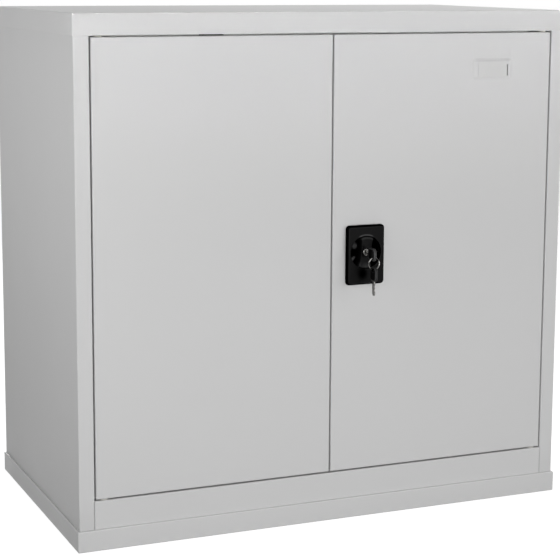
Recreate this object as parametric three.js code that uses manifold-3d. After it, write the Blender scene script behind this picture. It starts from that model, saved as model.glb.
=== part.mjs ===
// A low steel storage cabinet with two hinged doors, two adjustable shelves and a three-point knob lock.
// Sizes are in millimetres. X runs to the right, Y runs from the front to the rear and Z runs up.
// The pieces are placed with Y zero on the front face of the doors and Z zero on the floor.
// At the end the whole cabinet is moved so that X and Y are zero at the middle of its footprint.
import * as THREE from "three";
import { mergeVertices } from "three/addons/utils/BufferGeometryUtils.js";
import Module from "manifold-3d";

const wasm = await Module();
wasm.setup();

// Overall sizes of the body, without the base plinth's overhang
const bodyWidth = 900;
const bodyDepth = 500;
const bodyHeight = 880;

// Sheet steel and the room left between pieces
const sheet = 0.8;
const bendRadius = 1.0;
const fit = 0.3;
const overrun = 5;

// Base plinth, a welded ring of heavier sheet with a flange at the top and at the foot
const plinthHeight = 36;
const plinthProud = 3;
const plinthSheet = 1.2;
const plinthTopFlange = 30;
const plinthFootFlange = 20;

// Top cap, which drops over the sides
const capHeight = 35.5;

// Side panels, each with a stile at the front, a jamb behind it and a flange at the rear
const stileWidth = 26.5;
const jambDepth = 25;
const rearFlange = 15;

// Height of the cabinet floor's upper face, which is also the top of the lower front rail
const floorHeight = 84.5;

// Doors, folded into pans with a lip around the open back
const doorGap = 2.5;
const doorThickness = 20;
const doorLip = 18;

// Hat-shaped stiffener inside each door
const stiffenerTop = 36;
const stiffenerFoot = 12;
const stiffenerHeight = 14;

// Pivot hinges at the top and bottom of each door's outer edge
const hingeInset = 14;
const hingeSetback = 8;
const hingePinRadius = 3;
const hingePinReach = 7;
const hingeHeadRadius = 6;
const hingeHeadHeight = 2;
const bushWall = 1.7;
const bushFlangeRadius = 7.5;
const bushLength = 8;

// Stop flange of the top rail, its rubber buffers and the magnet for the left door
const stopFlange = 18;
const bufferHeight = 2;
const bufferRadius = 5;
const bufferInnerOffset = 30;
const bufferOuterInset = 67;
const magnetWidth = 42;
const magnetHeight = 15;
const magnetDepth = 12;
const magnetOffset = 210;

// Slotted uprights for the shelves
const uprightWidth = 30;
const uprightDepth = 12;
const uprightSheet = 1.2;
const uprightFrontSetback = 48;
const uprightRearSetback = 40;
const uprightHeadroom = 6;
const slotPitch = 50;
const slotHeight = 14;
const slotWidth = 4;
const shelfSlots = [5, 10];

// Shelves and the clips that carry them
const shelfHeight = 25;
const shelfLip = 15;
const shelfSetback = 35;
const shelfRearRoom = 3;
const shelfEndRoom = 1;
const clipWidth = 16;
const clipReach = 18;
const clipSheet = 1.5;
const clipPlateHeight = 14;
const clipTabHeight = 10;
const clipTabWidth = 3;
const clipHookThickness = 2;
const clipHookDrop = 4;

// Lock position, measured from the middle of the cabinet and from the floor
const lockOffset = 61;
const lockHeight = 471;

// Lock plate on the front of the right door, with its bore for the knob
const plateWidth = 71;
const plateHeight = 103;
const plateDrop = 5;
const plateThickness = 8;
const plateCornerRadius = 6;
const plateBevel = 2;
const plateBossWall = 2.5;

// Turning knob with its hourglass grip and stepped spindle
const knobRadius = 27.5;
const knobRunning = 1;
const knobDiscSetback = 1;
const knobDiscThickness = 4;
const gripProud = 1.5;
const gripWaist = 17;
const gripEndAngle = 0.42;
const gripBevel = 1.2;
const spindleRadius = 9.2;
const spindleLength = 5;
const driveRadius = 5;

// Lock housing behind the door skin
const housingFlange = 2;
const housingDepth = 7.9;
const housingFloor = 2;

// Screws that pull the housing and the plate together
const screwRadius = 1.8;
const screwHeadRadius = 3.5;
const screwHeadHeight = 2;
const screwGrip = 5;
const screwUpperOffset = 38.5;
const screwLowerOffset = 44;

// Scroll disc whose two spiral slots drive the bolts by equal steps
const discThickness = 2;
const discRim = 3;
const boltTravel = 14;
const pinOrbit = 14;
const pinRadius = 3;
const pinRunning = 0.4;
const quarterTurn = Math.PI / 2;

// Flat bolts running up and down inside the right door, and their guides
const boltWidth = 12;
const boltThickness = 2;
const boltRunning = 0.6;
const boltHoleRoom = 1;
const boltEnd = 6;
const guideWidth = 30;
const guideHeight = 16;
const guideBack = 2;
const guideInset = 60;

// Middle tongue that turns behind the left door's edge, and the screw that holds it
const tongueRunning = 1;
const tongueThickness = 2;
const tongueWidth = 18;
const tongueOverlap = 13;
const tongueHubRadius = 7;
const endScrewRadius = 2;
const endScrewLength = 8;
const endScrewHeadRadius = 6;
const endScrewHeadHeight = 2;

// Key cylinder and the two keys
const cylinderRadius = 6;
const cylinderLength = 17.5;
const cylinderSetback = 1;
const bladeThickness = 2;
const bladeWidth = 8;
const bladeLength = 24.5;
const bladeRoot = 3;
const bladeTipShare = 0.5;
const keyGap = 11.5;
const bowLength = 25;
const bowWidth = 22;
const bowThickness = 5;
const bowCornerRadius = 7;
const bowSlotInset = 5.5;
const bowSlotWidth = 4.4;
const bowSlotLength = 12;

// Key ring
const ringRadius = 10;
const ringWireRadius = 0.8;

// Pressed recess for a card in the right door, with its middle measured from the door's outer and upper edges
const labelInset = 116;
const labelDrop = 62;
const labelWidth = 78;
const labelTall = 38;
const labelDepth = 1.4;
const cardWidth = 56;
const cardTall = 26;
const cardThickness = 0.4;
const cardShift = 1.3;
const cardDrop = 1.4;
const cardSlit = 4;

// Number of flat facets that stand for a round
const bendSteps = 3;
const smallSides = 12;
const pinSides = 20;
const roundSides = 32;
const spiralSteps = 12;
const wireSides = 6;

// Places worked out from the sizes above
const halfWidth = bodyWidth / 2;
const wallInside = halfWidth - sheet;
const capSkirt = bodyHeight - capHeight;
const underCap = bodyHeight - sheet - fit;
const rearSkirtTop = underCap - bendRadius;
const openingHalf = halfWidth - stileWidth;
const overPlinth = plinthHeight + fit;
const backRear = bodyDepth - sheet - fit;
const backFront = backRear - sheet;
const doorOuter = openingHalf - doorGap;
const doorInner = doorGap / 2;
const doorWidth = doorOuter - doorInner;
const doorBottom = floorHeight + doorGap;
const doorTop = capSkirt - doorGap;
const doorHeight = doorTop - doorBottom;
const doorMiddle = (doorOuter + doorInner) / 2;
const hingeOffset = doorOuter - hingeInset;
const bufferOuterOffset = hingeOffset - bufferOuterInset;
const labelOffset = doorOuter - labelInset;
const labelHeight = doorTop - labelDrop;
const stopFace = doorThickness + bufferHeight + 2 * fit;
const bushRadius = hingePinRadius + fit + bushWall;
const uprightFace = wallInside - fit - uprightDepth;
const plateMiddle = lockHeight - plateDrop;
const plateBore = knobRadius + knobRunning;
const skinCutRadius = plateBore + plateBossWall + fit;
const housingFront = sheet + fit;
const housingRear = housingFront + housingDepth;
const spindleRear = knobDiscSetback + knobDiscThickness + spindleLength;
const discFront = spindleRear + fit;
const discRear = discFront + discThickness;
const boltFront = discRear + boltRunning;
const boltRear = boltFront + boltThickness;
const boltMiddle = (boltFront + boltRear) / 2;
const discRadius = pinOrbit + boltTravel + pinRadius + pinRunning + discRim;
const tongueFront = doorThickness + tongueRunning;
const tongueRear = tongueFront + tongueThickness;
const driveRear = tongueRear + fit;
const cylinderFront = cylinderSetback - plateThickness - gripProud;
const cylinderRear = cylinderFront + cylinderLength;
const bowInner = cylinderFront - keyGap;
const ringSetback = bowInner - bowLength + bowSlotInset;
const ringPivotHeight = lockHeight - bowSlotLength / 2 + fit + ringWireRadius;
const ringMiddleHeight = ringPivotHeight - ringRadius;
const sparePivotHeight = ringMiddleHeight - ringRadius;
const spareEndHeight = sparePivotHeight + ringWireRadius + fit - bowSlotWidth / 2 + bowSlotInset;

// Directions in which a drawn profile can be drawn out
const unitX = new THREE.Vector3(1, 0, 0);
const unitY = new THREE.Vector3(0, 1, 0);
const unitZ = new THREE.Vector3(0, 0, 1);
const towardsRight = new THREE.Matrix4().makeBasis(unitY, unitZ, unitX);
const towardsFront = new THREE.Matrix4().makeBasis(unitX, unitZ, unitY.clone().negate());

// Closed solid of a geometry, with its shared corners merged
function solidOf(geometry) {
  const bare = geometry.clone();
  bare.deleteAttribute("normal");
  bare.deleteAttribute("uv");
  const merged = mergeVertices(bare);
  return new wasm.Manifold(
    new wasm.Mesh({
      numProp: 3,
      vertProperties: new Float32Array(merged.attributes.position.array),
      triVerts: new Uint32Array(merged.index.array),
    }),
  );
}

// Geometry of a solid, flat shaded
function geometryOf(solid) {
  const mesh = solid.getMesh();
  const geometry = new THREE.BufferGeometry();
  geometry.setAttribute("position", new THREE.BufferAttribute(mesh.vertProperties, mesh.numProp));
  geometry.setIndex(new THREE.BufferAttribute(mesh.triVerts, 1));
  const flat = geometry.toNonIndexed();
  flat.computeVertexNormals();
  return flat;
}

function join(...geometries) {
  return geometryOf(geometries.map(solidOf).reduce((whole, next) => whole.add(next)));
}

function cut(geometry, ...tools) {
  return geometryOf(tools.map(solidOf).reduce((whole, tool) => whole.subtract(tool), solidOf(geometry)));
}

function common(first, second) {
  return geometryOf(solidOf(first).intersect(solidOf(second)));
}

// Block between two opposite corners
function block(x0, x1, y0, y1, z0, z1) {
  const geometry = new THREE.BoxGeometry(x1 - x0, y1 - y0, z1 - z0);
  return geometry.translate((x0 + x1) / 2, (y0 + y1) / 2, (z0 + z1) / 2);
}

// Outline drawn out by a length along local Z
function prism(shape, length) {
  return new THREE.ExtrudeGeometry(shape, { depth: length, bevelEnabled: false, curveSegments: bendSteps });
}

// Outline in (X, Z) drawn out between two places on Y
function prismBetween(shape, front, rear) {
  return prism(shape, rear - front).applyMatrix4(towardsFront).translate(0, rear, 0);
}

// Round bar along Y, centred on a place in (X, Z)
function barAlongY(radius, front, rear, x, z, sides) {
  const geometry = new THREE.CylinderGeometry(radius, radius, rear - front, sides);
  return geometry.translate(x, (front + rear) / 2, z);
}

// Round bar along Z, centred on a place in (X, Y)
function barAlongZ(radius, low, high, x, y, sides) {
  const geometry = new THREE.CylinderGeometry(radius, radius, high - low, sides).rotateX(quarterTurn);
  return geometry.translate(x, y, (low + high) / 2);
}

// Outline of a folded sheet. The path follows one face of the sheet, whose thickness lies to the left of
// the path when side is 1 and to its right when side is -1. Every fold has the same inside radius.
function foldedOutline(path, thickness, side) {
  const face = [];
  const other = [];
  const addPair = (point, normal) => {
    face.push(point);
    other.push(point.clone().addScaledVector(normal, side * thickness));
  };
  const leftOf = (direction) => new THREE.Vector2(-direction.y, direction.x);
  const origin = new THREE.Vector2(0, 0);
  path.forEach((corner, i) => {
    const before = i > 0 ? corner.clone().sub(path[i - 1]).normalize() : null;
    const after = i < path.length - 1 ? path[i + 1].clone().sub(corner).normalize() : null;
    if (!before || !after) {
      addPair(corner.clone(), leftOf(before || after));
      return;
    }
    const turn = Math.atan2(before.cross(after), before.dot(after));
    const inward = Math.sign(turn);
    const radius = inward === side ? bendRadius + thickness : bendRadius;
    const start = corner.clone().addScaledVector(before, -radius * Math.tan(Math.abs(turn) / 2));
    const centre = start.clone().addScaledVector(leftOf(before), inward * radius);
    for (let step = 0; step <= bendSteps; step++) {
      const angle = (turn * step) / bendSteps;
      addPair(start.clone().rotateAround(centre, angle), leftOf(before).rotateAround(origin, angle));
    }
  });
  return new THREE.Shape([...face, ...other.reverse()]);
}

function outlinePath(...pairs) {
  return pairs.map(([u, v]) => new THREE.Vector2(u, v));
}

// Profile of a block whose two upper corners are rounded
function shoulderedShape(width, height, radius) {
  const half = width / 2;
  const shape = new THREE.Shape();
  shape.moveTo(-half, 0);
  shape.lineTo(half, 0);
  shape.lineTo(half, height - radius);
  shape.absarc(half - radius, height - radius, radius, 0, quarterTurn, false);
  shape.lineTo(radius - half, height);
  shape.absarc(radius - half, height - radius, radius, quarterTurn, Math.PI, false);
  return shape;
}

// Block centred on X and Y that stands on Z zero, with its four upper edges rounded
function shoulderedBlock(width, length, height, radius) {
  const across = prismBetween(shoulderedShape(width, height, radius), -length / 2, length / 2);
  const along = prism(shoulderedShape(length, height, radius), width)
    .applyMatrix4(towardsRight)
    .translate(-width / 2, 0, 0);
  return common(across, along);
}

// Sheet folded into a tray that is closed at the top, centred on X and Y, with its rim on Z zero.
// A lip of the given width turns inwards around the rim; a lip of zero leaves the rim plain.
function tray(width, length, height, lip) {
  const hollowFloor = lip > 0 ? sheet : -overrun;
  const hollow = shoulderedBlock(
    width - 2 * sheet,
    length - 2 * sheet,
    height - sheet - hollowFloor,
    bendRadius,
  ).translate(0, 0, hollowFloor);
  const shell = cut(shoulderedBlock(width, length, height, bendRadius + sheet), hollow);
  if (lip === 0) return shell;
  const mouthX = width / 2 - lip;
  const mouthY = length / 2 - lip;
  return cut(shell, block(-mouthX, mouthX, -mouthY, mouthY, -overrun, height / 2));
}

// Rectangle with rounded corners, centred on a place
function roundedRectangle(width, height, radius, x, z) {
  const left = x - width / 2;
  const right = x + width / 2;
  const low = z - height / 2;
  const high = z + height / 2;
  const shape = new THREE.Shape();
  shape.moveTo(left + radius, low);
  shape.lineTo(right - radius, low);
  shape.absarc(right - radius, low + radius, radius, -quarterTurn, 0, false);
  shape.lineTo(right, high - radius);
  shape.absarc(right - radius, high - radius, radius, 0, quarterTurn, false);
  shape.lineTo(left + radius, high);
  shape.absarc(left + radius, high - radius, radius, quarterTurn, Math.PI, false);
  shape.lineTo(left, low + radius);
  shape.absarc(left + radius, low + radius, radius, Math.PI, Math.PI + quarterTurn, false);
  return shape;
}

// Outline in (X, Z) drawn out along Y, with a bevel around its front face only
function frontBevelledPrism(shape, front, rear, bevel, extent) {
  const whole = new THREE.ExtrudeGeometry(shape, {
    depth: rear - front,
    bevelThickness: bevel,
    bevelSize: bevel,
    bevelOffset: -bevel,
    bevelSegments: 2,
    curveSegments: bendSteps,
  });
  whole.applyMatrix4(towardsFront).translate(0, rear + bevel, 0);
  return cut(whole, block(-extent, extent, rear, rear + 2 * bevel + overrun, -extent, extent + bodyHeight));
}

// Materials
function coat(name, colour, roughness, metalness) {
  const material = new THREE.MeshStandardMaterial({ color: colour, roughness, metalness });
  material.name = name;
  return material;
}

const finishes = {
  powderCoat: () => coat("powder coat", 0xd2d3d3, 0.5, 0),
  zinc: () => coat("zinc plate", 0xb4b8bb, 0.35, 1),
  nickel: () => coat("nickel plate", 0xd0cec8, 0.15, 1),
  blackPlastic: () => coat("black plastic", 0x151515, 0.4, 0),
  nylon: () => coat("white nylon", 0xe6e4dc, 0.55, 0),
  rubber: () => coat("grey rubber", 0x6a6c6e, 0.85, 0),
  paper: () => coat("card", 0xc9c9c8, 0.8, 0),
};

const cabinet = new THREE.Group();
cabinet.name = "cabinet";

// Adds one named piece to a group
function addPiece(group, name, geometry, finish) {
  const mesh = new THREE.Mesh(geometry, finishes[finish]());
  mesh.name = name;
  group.add(mesh);
  return mesh;
}

function makePlinth() {
  const halfX = halfWidth + plinthProud;
  const front = -plinthProud;
  const rear = bodyDepth + plinthProud;
  const ring = (inset, low, high) =>
    block(-halfX + inset, halfX - inset, front + inset, rear - inset, low, high);
  return cut(
    ring(0, 0, plinthHeight),
    ring(plinthSheet, plinthSheet, plinthHeight - plinthSheet),
    ring(plinthTopFlange, plinthHeight / 2, plinthHeight + overrun),
    ring(plinthFootFlange, -overrun, plinthHeight / 2),
  );
}

// Left side panel, seen from above: jamb, stile, side wall and rear flange in one folded sheet
function makeSidePanel() {
  const path = outlinePath(
    [-openingHalf, jambDepth],
    [-openingHalf, 0],
    [-halfWidth, 0],
    [-halfWidth, bodyDepth],
    [rearFlange - halfWidth, bodyDepth],
  );
  return prism(foldedOutline(path, sheet, -1), underCap - overPlinth).translate(0, 0, overPlinth);
}

// Floor of the cabinet with the lower front rail folded down in front, notched around the jambs
function makeBottomPanel() {
  const width = 2 * (wallInside - fit);
  const length = backFront - fit;
  const panel = tray(width, length, floorHeight - overPlinth, 0).translate(0, length / 2, overPlinth);
  const notch = openingHalf - fit;
  const notchDepth = jambDepth + fit;
  const corner = (from, to) => block(from, to, -overrun, notchDepth, 0, bodyHeight);
  return cut(
    panel,
    corner(-bodyWidth, -notch),
    corner(notch, bodyWidth),
    hingeHole(-hingeOffset, floorHeight),
    hingeHole(hingeOffset, floorHeight),
    boltHole(floorHeight),
  );
}

function hingeHole(x, height) {
  return barAlongZ(hingePinRadius + fit, height - overrun, height + overrun, x, hingeSetback, pinSides);
}

// Hole for a bolt through a level sheet at the given height
function boltHole(height) {
  const halfX = boltWidth / 2 + boltHoleRoom;
  const halfY = boltThickness / 2 + boltHoleRoom;
  return block(
    lockOffset - halfX,
    lockOffset + halfX,
    boltMiddle - halfY,
    boltMiddle + halfY,
    height - overrun,
    height + overrun,
  );
}

// Cap with its front and side skirts and a rounded rear edge; the rear skirt below that edge is its own strip
function makeTopCap() {
  const proud = sheet + fit;
  const whole = tray(bodyWidth + 2 * proud, bodyDepth + 2 * proud, capHeight, 0).translate(
    0,
    bodyDepth / 2,
    capSkirt,
  );
  const half = halfWidth + fit;
  return cut(
    whole,
    block(-half, half, bodyDepth + fit, bodyDepth + overrun, capSkirt - overrun, rearSkirtTop + fit),
  );
}

function makeCapRearSkirt() {
  const front = bodyDepth + fit;
  return block(-halfWidth, halfWidth, front, front + sheet, capSkirt, rearSkirtTop);
}

// Rail behind the cap's front skirt: front wall, web over the doors and stop flange behind them
function makeTopRail() {
  const path = outlinePath(
    [0, underCap],
    [0, capSkirt],
    [stopFace, capSkirt],
    [stopFace, capSkirt - stopFlange],
  );
  const halfLength = openingHalf - fit;
  const rail = prism(foldedOutline(path, sheet, 1), 2 * halfLength)
    .applyMatrix4(towardsRight)
    .translate(-halfLength, 0, 0);
  const stopHalf = hingeOffset - doorThickness;
  const flangeEnd = (from, to) =>
    block(
      from,
      to,
      doorThickness,
      stopFace + overrun,
      capSkirt - stopFlange - overrun,
      capSkirt - bendRadius,
    );
  const magnetHalf = magnetWidth / 2 + fit;
  return cut(
    rail,
    flangeEnd(-halfWidth, -stopHalf),
    flangeEnd(stopHalf, halfWidth),
    flangeEnd(-magnetOffset - magnetHalf, magnetHalf - magnetOffset),
    hingeHole(-hingeOffset, capSkirt),
    hingeHole(hingeOffset, capSkirt),
    boltHole(capSkirt),
  );
}

function makeBackPanel() {
  const half = wallInside - bendRadius;
  return block(-half, half, backFront, backRear, overPlinth, underCap);
}

// Left upright with its row of slots; its front edge lies on Y zero
function makeUpright() {
  const foot = wallInside - fit;
  const path = outlinePath(
    [-foot, 0],
    [-uprightFace, 0],
    [-uprightFace, uprightWidth],
    [-foot, uprightWidth],
  );
  const low = floorHeight + fit;
  const high = capSkirt - uprightHeadroom;
  const channel = prism(foldedOutline(path, uprightSheet, 1), high - low).translate(0, 0, low);
  const slots = [];
  for (let z = floorHeight + slotPitch; z + slotPitch < high; z += slotPitch) {
    slots.push(
      block(
        -uprightFace - uprightSheet - overrun / 2,
        overrun - uprightFace,
        (uprightWidth - slotWidth) / 2,
        (uprightWidth + slotWidth) / 2,
        z - slotHeight / 2,
        z + slotHeight / 2,
      ),
    );
  }
  return cut(channel, ...slots);
}

// Clip for the left-hand uprights. X is zero on the upright's face and Z on the ledge's upper face.
function makeClip() {
  const half = clipWidth / 2;
  const tabHalf = clipTabWidth / 2;
  const tabHigh = clipTabHeight / 2;
  const hookFront = -uprightSheet - fit;
  const hookRear = hookFront - clipHookThickness;
  const ledge = block(fit, clipReach, -half, half, -clipSheet, 0);
  const plate = block(fit, fit + clipSheet, -half, half, -clipSheet, clipPlateHeight);
  const tab = block(hookRear, fit + clipSheet, -tabHalf, tabHalf, -tabHigh, tabHigh);
  const hook = block(hookRear, hookFront, -tabHalf, tabHalf, -tabHigh - clipHookDrop, tabHigh);
  return join(ledge, plate, tab, hook);
}

function makeShelf() {
  const halfX = uprightFace - fit - clipSheet - shelfEndRoom;
  const rear = backFront - shelfRearRoom;
  return tray(2 * halfX, rear - shelfSetback, shelfHeight, shelfLip).translate(
    0,
    (rear + shelfSetback) / 2,
    0,
  );
}

// Plain door pan, for the left door when side is -1 and for the right door when side is 1
function makeDoorPan(side) {
  const pan = tray(doorWidth, doorHeight, doorThickness, doorLip)
    .applyMatrix4(towardsFront)
    .translate(side * doorMiddle, doorThickness, (doorTop + doorBottom) / 2);
  const x = side * hingeOffset;
  const hole = (z) =>
    barAlongZ(bushRadius + fit, z - overrun / 2, z + overrun / 2, x, hingeSetback, pinSides);
  return cut(pan, hole(doorTop), hole(doorBottom));
}

// Right door, with the cut-outs for the lock and the bolts and the pressed recess for the card
function makeRightDoor() {
  const recess = (grow, front, rear) =>
    block(
      labelOffset - labelWidth / 2 - grow,
      labelOffset + labelWidth / 2 + grow,
      front,
      rear,
      labelHeight - labelTall / 2 - grow,
      labelHeight + labelTall / 2 + grow,
    );
  const withBulge = join(makeDoorPan(1), recess(sheet, sheet / 2, labelDepth + sheet));
  const slit = (from, to) =>
    block(
      from,
      to,
      -overrun,
      labelDepth + overrun,
      labelHeight - cardDrop - cardTall / 2,
      labelHeight - cardDrop + cardTall / 2,
    );
  const cardLeft = labelOffset + cardShift - cardWidth / 2;
  const cardRight = labelOffset + cardShift + cardWidth / 2;
  const screwHole = (z) =>
    barAlongY(screwRadius + fit, -overrun, overrun, lockOffset, z, smallSides);
  return cut(
    withBulge,
    recess(0, -overrun, labelDepth),
    slit(cardLeft - cardSlit / 2, cardLeft - fit),
    slit(cardRight + fit, cardRight + cardSlit),
    barAlongY(skinCutRadius, -overrun, overrun, lockOffset, lockHeight, roundSides),
    screwHole(lockHeight + screwUpperOffset),
    screwHole(lockHeight - screwLowerOffset),
    boltHole(doorTop),
    boltHole(doorBottom),
  );
}

// Stiffener with its feet against the inside of the door skin, centred on X
function makeStiffener() {
  const inner = stiffenerTop / 2;
  const outer = inner + stiffenerFoot;
  const foot = sheet + fit;
  const crown = foot + stiffenerHeight;
  const path = outlinePath(
    [-outer, foot],
    [-inner, foot],
    [-inner, crown],
    [inner, crown],
    [inner, foot],
    [outer, foot],
  );
  const low = doorBottom + sheet + fit;
  const high = doorTop - sheet - fit;
  return prism(foldedOutline(path, sheet, 1), high - low).translate(0, 0, low);
}

// Hinge pin that stands up through a sheet whose upper face is at Z zero
function makeHingePin() {
  const reach = doorGap + hingePinReach;
  const neck = -sheet - fit;
  const shank = barAlongZ(hingePinRadius, neck - hingeHeadHeight / 2, reach, 0, 0, pinSides);
  const head = barAlongZ(hingeHeadRadius, neck - hingeHeadHeight, neck, 0, 0, pinSides);
  return join(shank, head);
}

// Bush for the same pin, with its flange between the sheet and the door
function makeHingeBush() {
  const flangeTop = doorGap - fit;
  const flange = barAlongZ(bushFlangeRadius, fit, flangeTop, 0, 0, pinSides);
  const sleeve = barAlongZ(bushRadius, fit, flangeTop + bushLength, 0, 0, pinSides);
  const bore = barAlongZ(hingePinRadius + fit, -overrun, bushLength + 2 * overrun, 0, 0, pinSides);
  return cut(join(flange, sleeve), bore);
}

function makeLockPlate() {
  const outline = roundedRectangle(plateWidth, plateHeight, plateCornerRadius, lockOffset, plateMiddle);
  const plate = frontBevelledPrism(outline, -plateThickness, -fit, plateBevel, bodyWidth);
  const boss = barAlongY(
    plateBore + plateBossWall,
    -plateThickness / 2,
    sheet,
    lockOffset,
    lockHeight,
    roundSides,
  );
  const bore = barAlongY(plateBore, -plateThickness - overrun, overrun, lockOffset, lockHeight, roundSides);
  const screwHole = (z) =>
    barAlongY(screwRadius + fit, -screwGrip - fit, overrun, lockOffset, z, smallSides);
  return cut(
    join(plate, boss),
    bore,
    screwHole(lockHeight + screwUpperOffset),
    screwHole(lockHeight - screwLowerOffset),
  );
}

// Housing: a flange against the inside of the door skin and a cup whose floor carries the spindle
function makeLockHousing() {
  const outline = roundedRectangle(plateWidth, plateHeight, plateCornerRadius, lockOffset, plateMiddle);
  const flange = prismBetween(outline, housingFront, housingFront + housingFlange);
  const round = (radius, front, rear) => barAlongY(radius, front, rear, lockOffset, lockHeight, roundSides);
  const cup = round(plateBore + plateBossWall, housingFront, housingRear);
  const screwHole = (z) => barAlongY(screwRadius + fit, 0, overrun, lockOffset, z, smallSides);
  return cut(
    join(flange, cup),
    round(plateBore, 0, housingRear - housingFloor),
    round(spindleRadius + fit, 0, housingRear + overrun),
    screwHole(lockHeight + screwUpperOffset),
    screwHole(lockHeight - screwLowerOffset),
  );
}

// Grip outline: an hourglass between two arcs of the knob's rim, centred on zero
function gripShape() {
  const half = gripWaist / 2;
  const shape = new THREE.Shape();
  const corner = (angle) => [knobRadius * Math.cos(angle), knobRadius * Math.sin(angle)];
  shape.moveTo(...corner(quarterTurn - gripEndAngle));
  shape.absarc(0, 0, knobRadius, quarterTurn - gripEndAngle, quarterTurn + gripEndAngle, false);
  shape.quadraticCurveTo(-half, knobRadius / 2, -half, 0);
  shape.quadraticCurveTo(-half, -knobRadius / 2, ...corner(-quarterTurn - gripEndAngle));
  shape.absarc(0, 0, knobRadius, -quarterTurn - gripEndAngle, gripEndAngle - quarterTurn, false);
  shape.quadraticCurveTo(half, -knobRadius / 2, half, 0);
  shape.quadraticCurveTo(half, knobRadius / 2, ...corner(quarterTurn - gripEndAngle));
  return shape;
}

// Knob centred on its own axis; Y stays measured from the face of the door
function makeKnob() {
  const round = (radius, front, rear, sides) => barAlongY(radius, front, rear, 0, 0, sides);
  const discRearFace = knobDiscSetback + knobDiscThickness;
  const gripFront = -plateThickness - gripProud;
  const grip = frontBevelledPrism(gripShape(), gripFront, knobDiscSetback + fit, gripBevel, plateHeight);
  const disc = round(knobRadius, knobDiscSetback, discRearFace, roundSides);
  const spindle = round(spindleRadius, knobDiscSetback, spindleRear, pinSides);
  const drive = round(driveRadius, knobDiscSetback, driveRear, pinSides);
  const bore = round(cylinderRadius + fit, gripFront - overrun, cylinderRear + fit, pinSides);
  const thread = round(endScrewRadius + fit, driveRear - endScrewLength, driveRear + overrun, smallSides);
  return cut(join(grip, disc, spindle, drive), bore, thread);
}

// Spiral slot in the scroll disc: its distance from the axis grows by equal steps with the angle
function spiralSlot(turned) {
  const halfWidthOfSlot = pinRadius + pinRunning;
  const place = (angle) => {
    const reach = pinOrbit + (boltTravel * angle) / quarterTurn;
    return new THREE.Vector2(-reach * Math.sin(angle), reach * Math.cos(angle));
  };
  const near = [];
  const far = [];
  for (let step = 0; step <= spiralSteps; step++) {
    const angle = (quarterTurn * step) / spiralSteps;
    const reach = pinOrbit + (boltTravel * angle) / quarterTurn;
    const growth = boltTravel / quarterTurn;
    const along = new THREE.Vector2(
      -growth * Math.sin(angle) - reach * Math.cos(angle),
      growth * Math.cos(angle) - reach * Math.sin(angle),
    ).normalize();
    const outwards = new THREE.Vector2(along.y, -along.x);
    near.push(place(angle).addScaledVector(outwards, halfWidthOfSlot));
    far.push(place(angle).addScaledVector(outwards, -halfWidthOfSlot));
  }
  const channel = prismBetween(
    new THREE.Shape([...near, ...far.reverse()]),
    discFront - overrun,
    discRear + overrun,
  );
  const endRound = (angle) => {
    const end = place(angle);
    return barAlongY(halfWidthOfSlot, discFront - overrun, discRear + overrun, end.x, end.y, pinSides);
  };
  return join(channel, endRound(0), endRound(quarterTurn)).rotateY(turned);
}

function makeScrollDisc() {
  const disc = barAlongY(discRadius, discFront, discRear, 0, 0, roundSides);
  const hub = barAlongY(driveRadius + fit, discFront - overrun, discRear + overrun, 0, 0, pinSides);
  return cut(disc, hub, spiralSlot(0), spiralSlot(Math.PI));
}

// Tongue hanging down from its hub; it reaches past the left door's edge when turned a quarter
function makeTongue() {
  const reach = lockOffset + doorInner + tongueOverlap;
  const half = tongueWidth / 2;
  const shape = new THREE.Shape();
  shape.absarc(0, 0, half, 0, Math.PI, false);
  shape.lineTo(-half, half - reach);
  shape.absarc(0, half - reach, half, Math.PI, 2 * Math.PI, false);
  const bar = prismBetween(shape, tongueFront, tongueRear);
  const hub = barAlongY(tongueHubRadius, discRear + fit, tongueRear, 0, 0, pinSides);
  const bore = barAlongY(driveRadius + fit, discFront, tongueRear + overrun, 0, 0, pinSides);
  return cut(join(bar, hub), bore);
}

function makeEndScrew() {
  const seat = driveRear + fit;
  const shank = barAlongY(endScrewRadius, driveRear - endScrewLength + fit, seat + fit, 0, 0, smallSides);
  const head = barAlongY(endScrewHeadRadius, seat, seat + endScrewHeadHeight, 0, 0, pinSides);
  return join(shank, head);
}

// Screw from behind the housing's flange into the lock plate, centred on its own axis
function makeLockScrew() {
  const seat = housingFront + housingFlange + fit;
  const shank = barAlongY(screwRadius, -screwGrip, seat + fit, 0, 0, smallSides);
  const head = barAlongY(screwHeadRadius, seat, seat + screwHeadHeight, 0, 0, smallSides);
  return join(shank, head);
}

// Flat bolt with its drive pin. It points up when way is 1 and down when way is -1.
function makeBolt(way, tip) {
  const pinHeight = lockHeight + way * pinOrbit;
  const inner = pinHeight - way * boltEnd;
  const half = boltWidth / 2;
  const strip = block(
    lockOffset - half,
    lockOffset + half,
    boltFront,
    boltRear,
    Math.min(inner, tip),
    Math.max(inner, tip),
  );
  const pinFront = discFront - boltRunning;
  const pin = barAlongY(pinRadius, pinFront, boltRear - fit, lockOffset, pinHeight, pinSides);
  return join(strip, pin);
}

function makeBoltGuide(middle) {
  const halfX = guideWidth / 2;
  const halfZ = guideHeight / 2;
  const slotX = boltWidth / 2 + fit;
  const body = block(
    lockOffset - halfX,
    lockOffset + halfX,
    sheet + fit,
    boltRear + guideBack,
    middle - halfZ,
    middle + halfZ,
  );
  const slot = block(
    lockOffset - slotX,
    lockOffset + slotX,
    boltFront - fit,
    boltRear + fit,
    middle - guideHeight,
    middle + guideHeight,
  );
  return cut(body, slot);
}

// Key cylinder with its keyway through it, centred on its own axis
function makeKeyCylinder() {
  const half = bladeThickness / 2 + fit;
  const tall = bladeWidth / 2 + fit;
  return cut(
    barAlongY(cylinderRadius, cylinderFront, cylinderRear, 0, 0, pinSides),
    block(-half, half, cylinderFront - overrun, cylinderRear + overrun, -tall, tall),
  );
}

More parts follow.
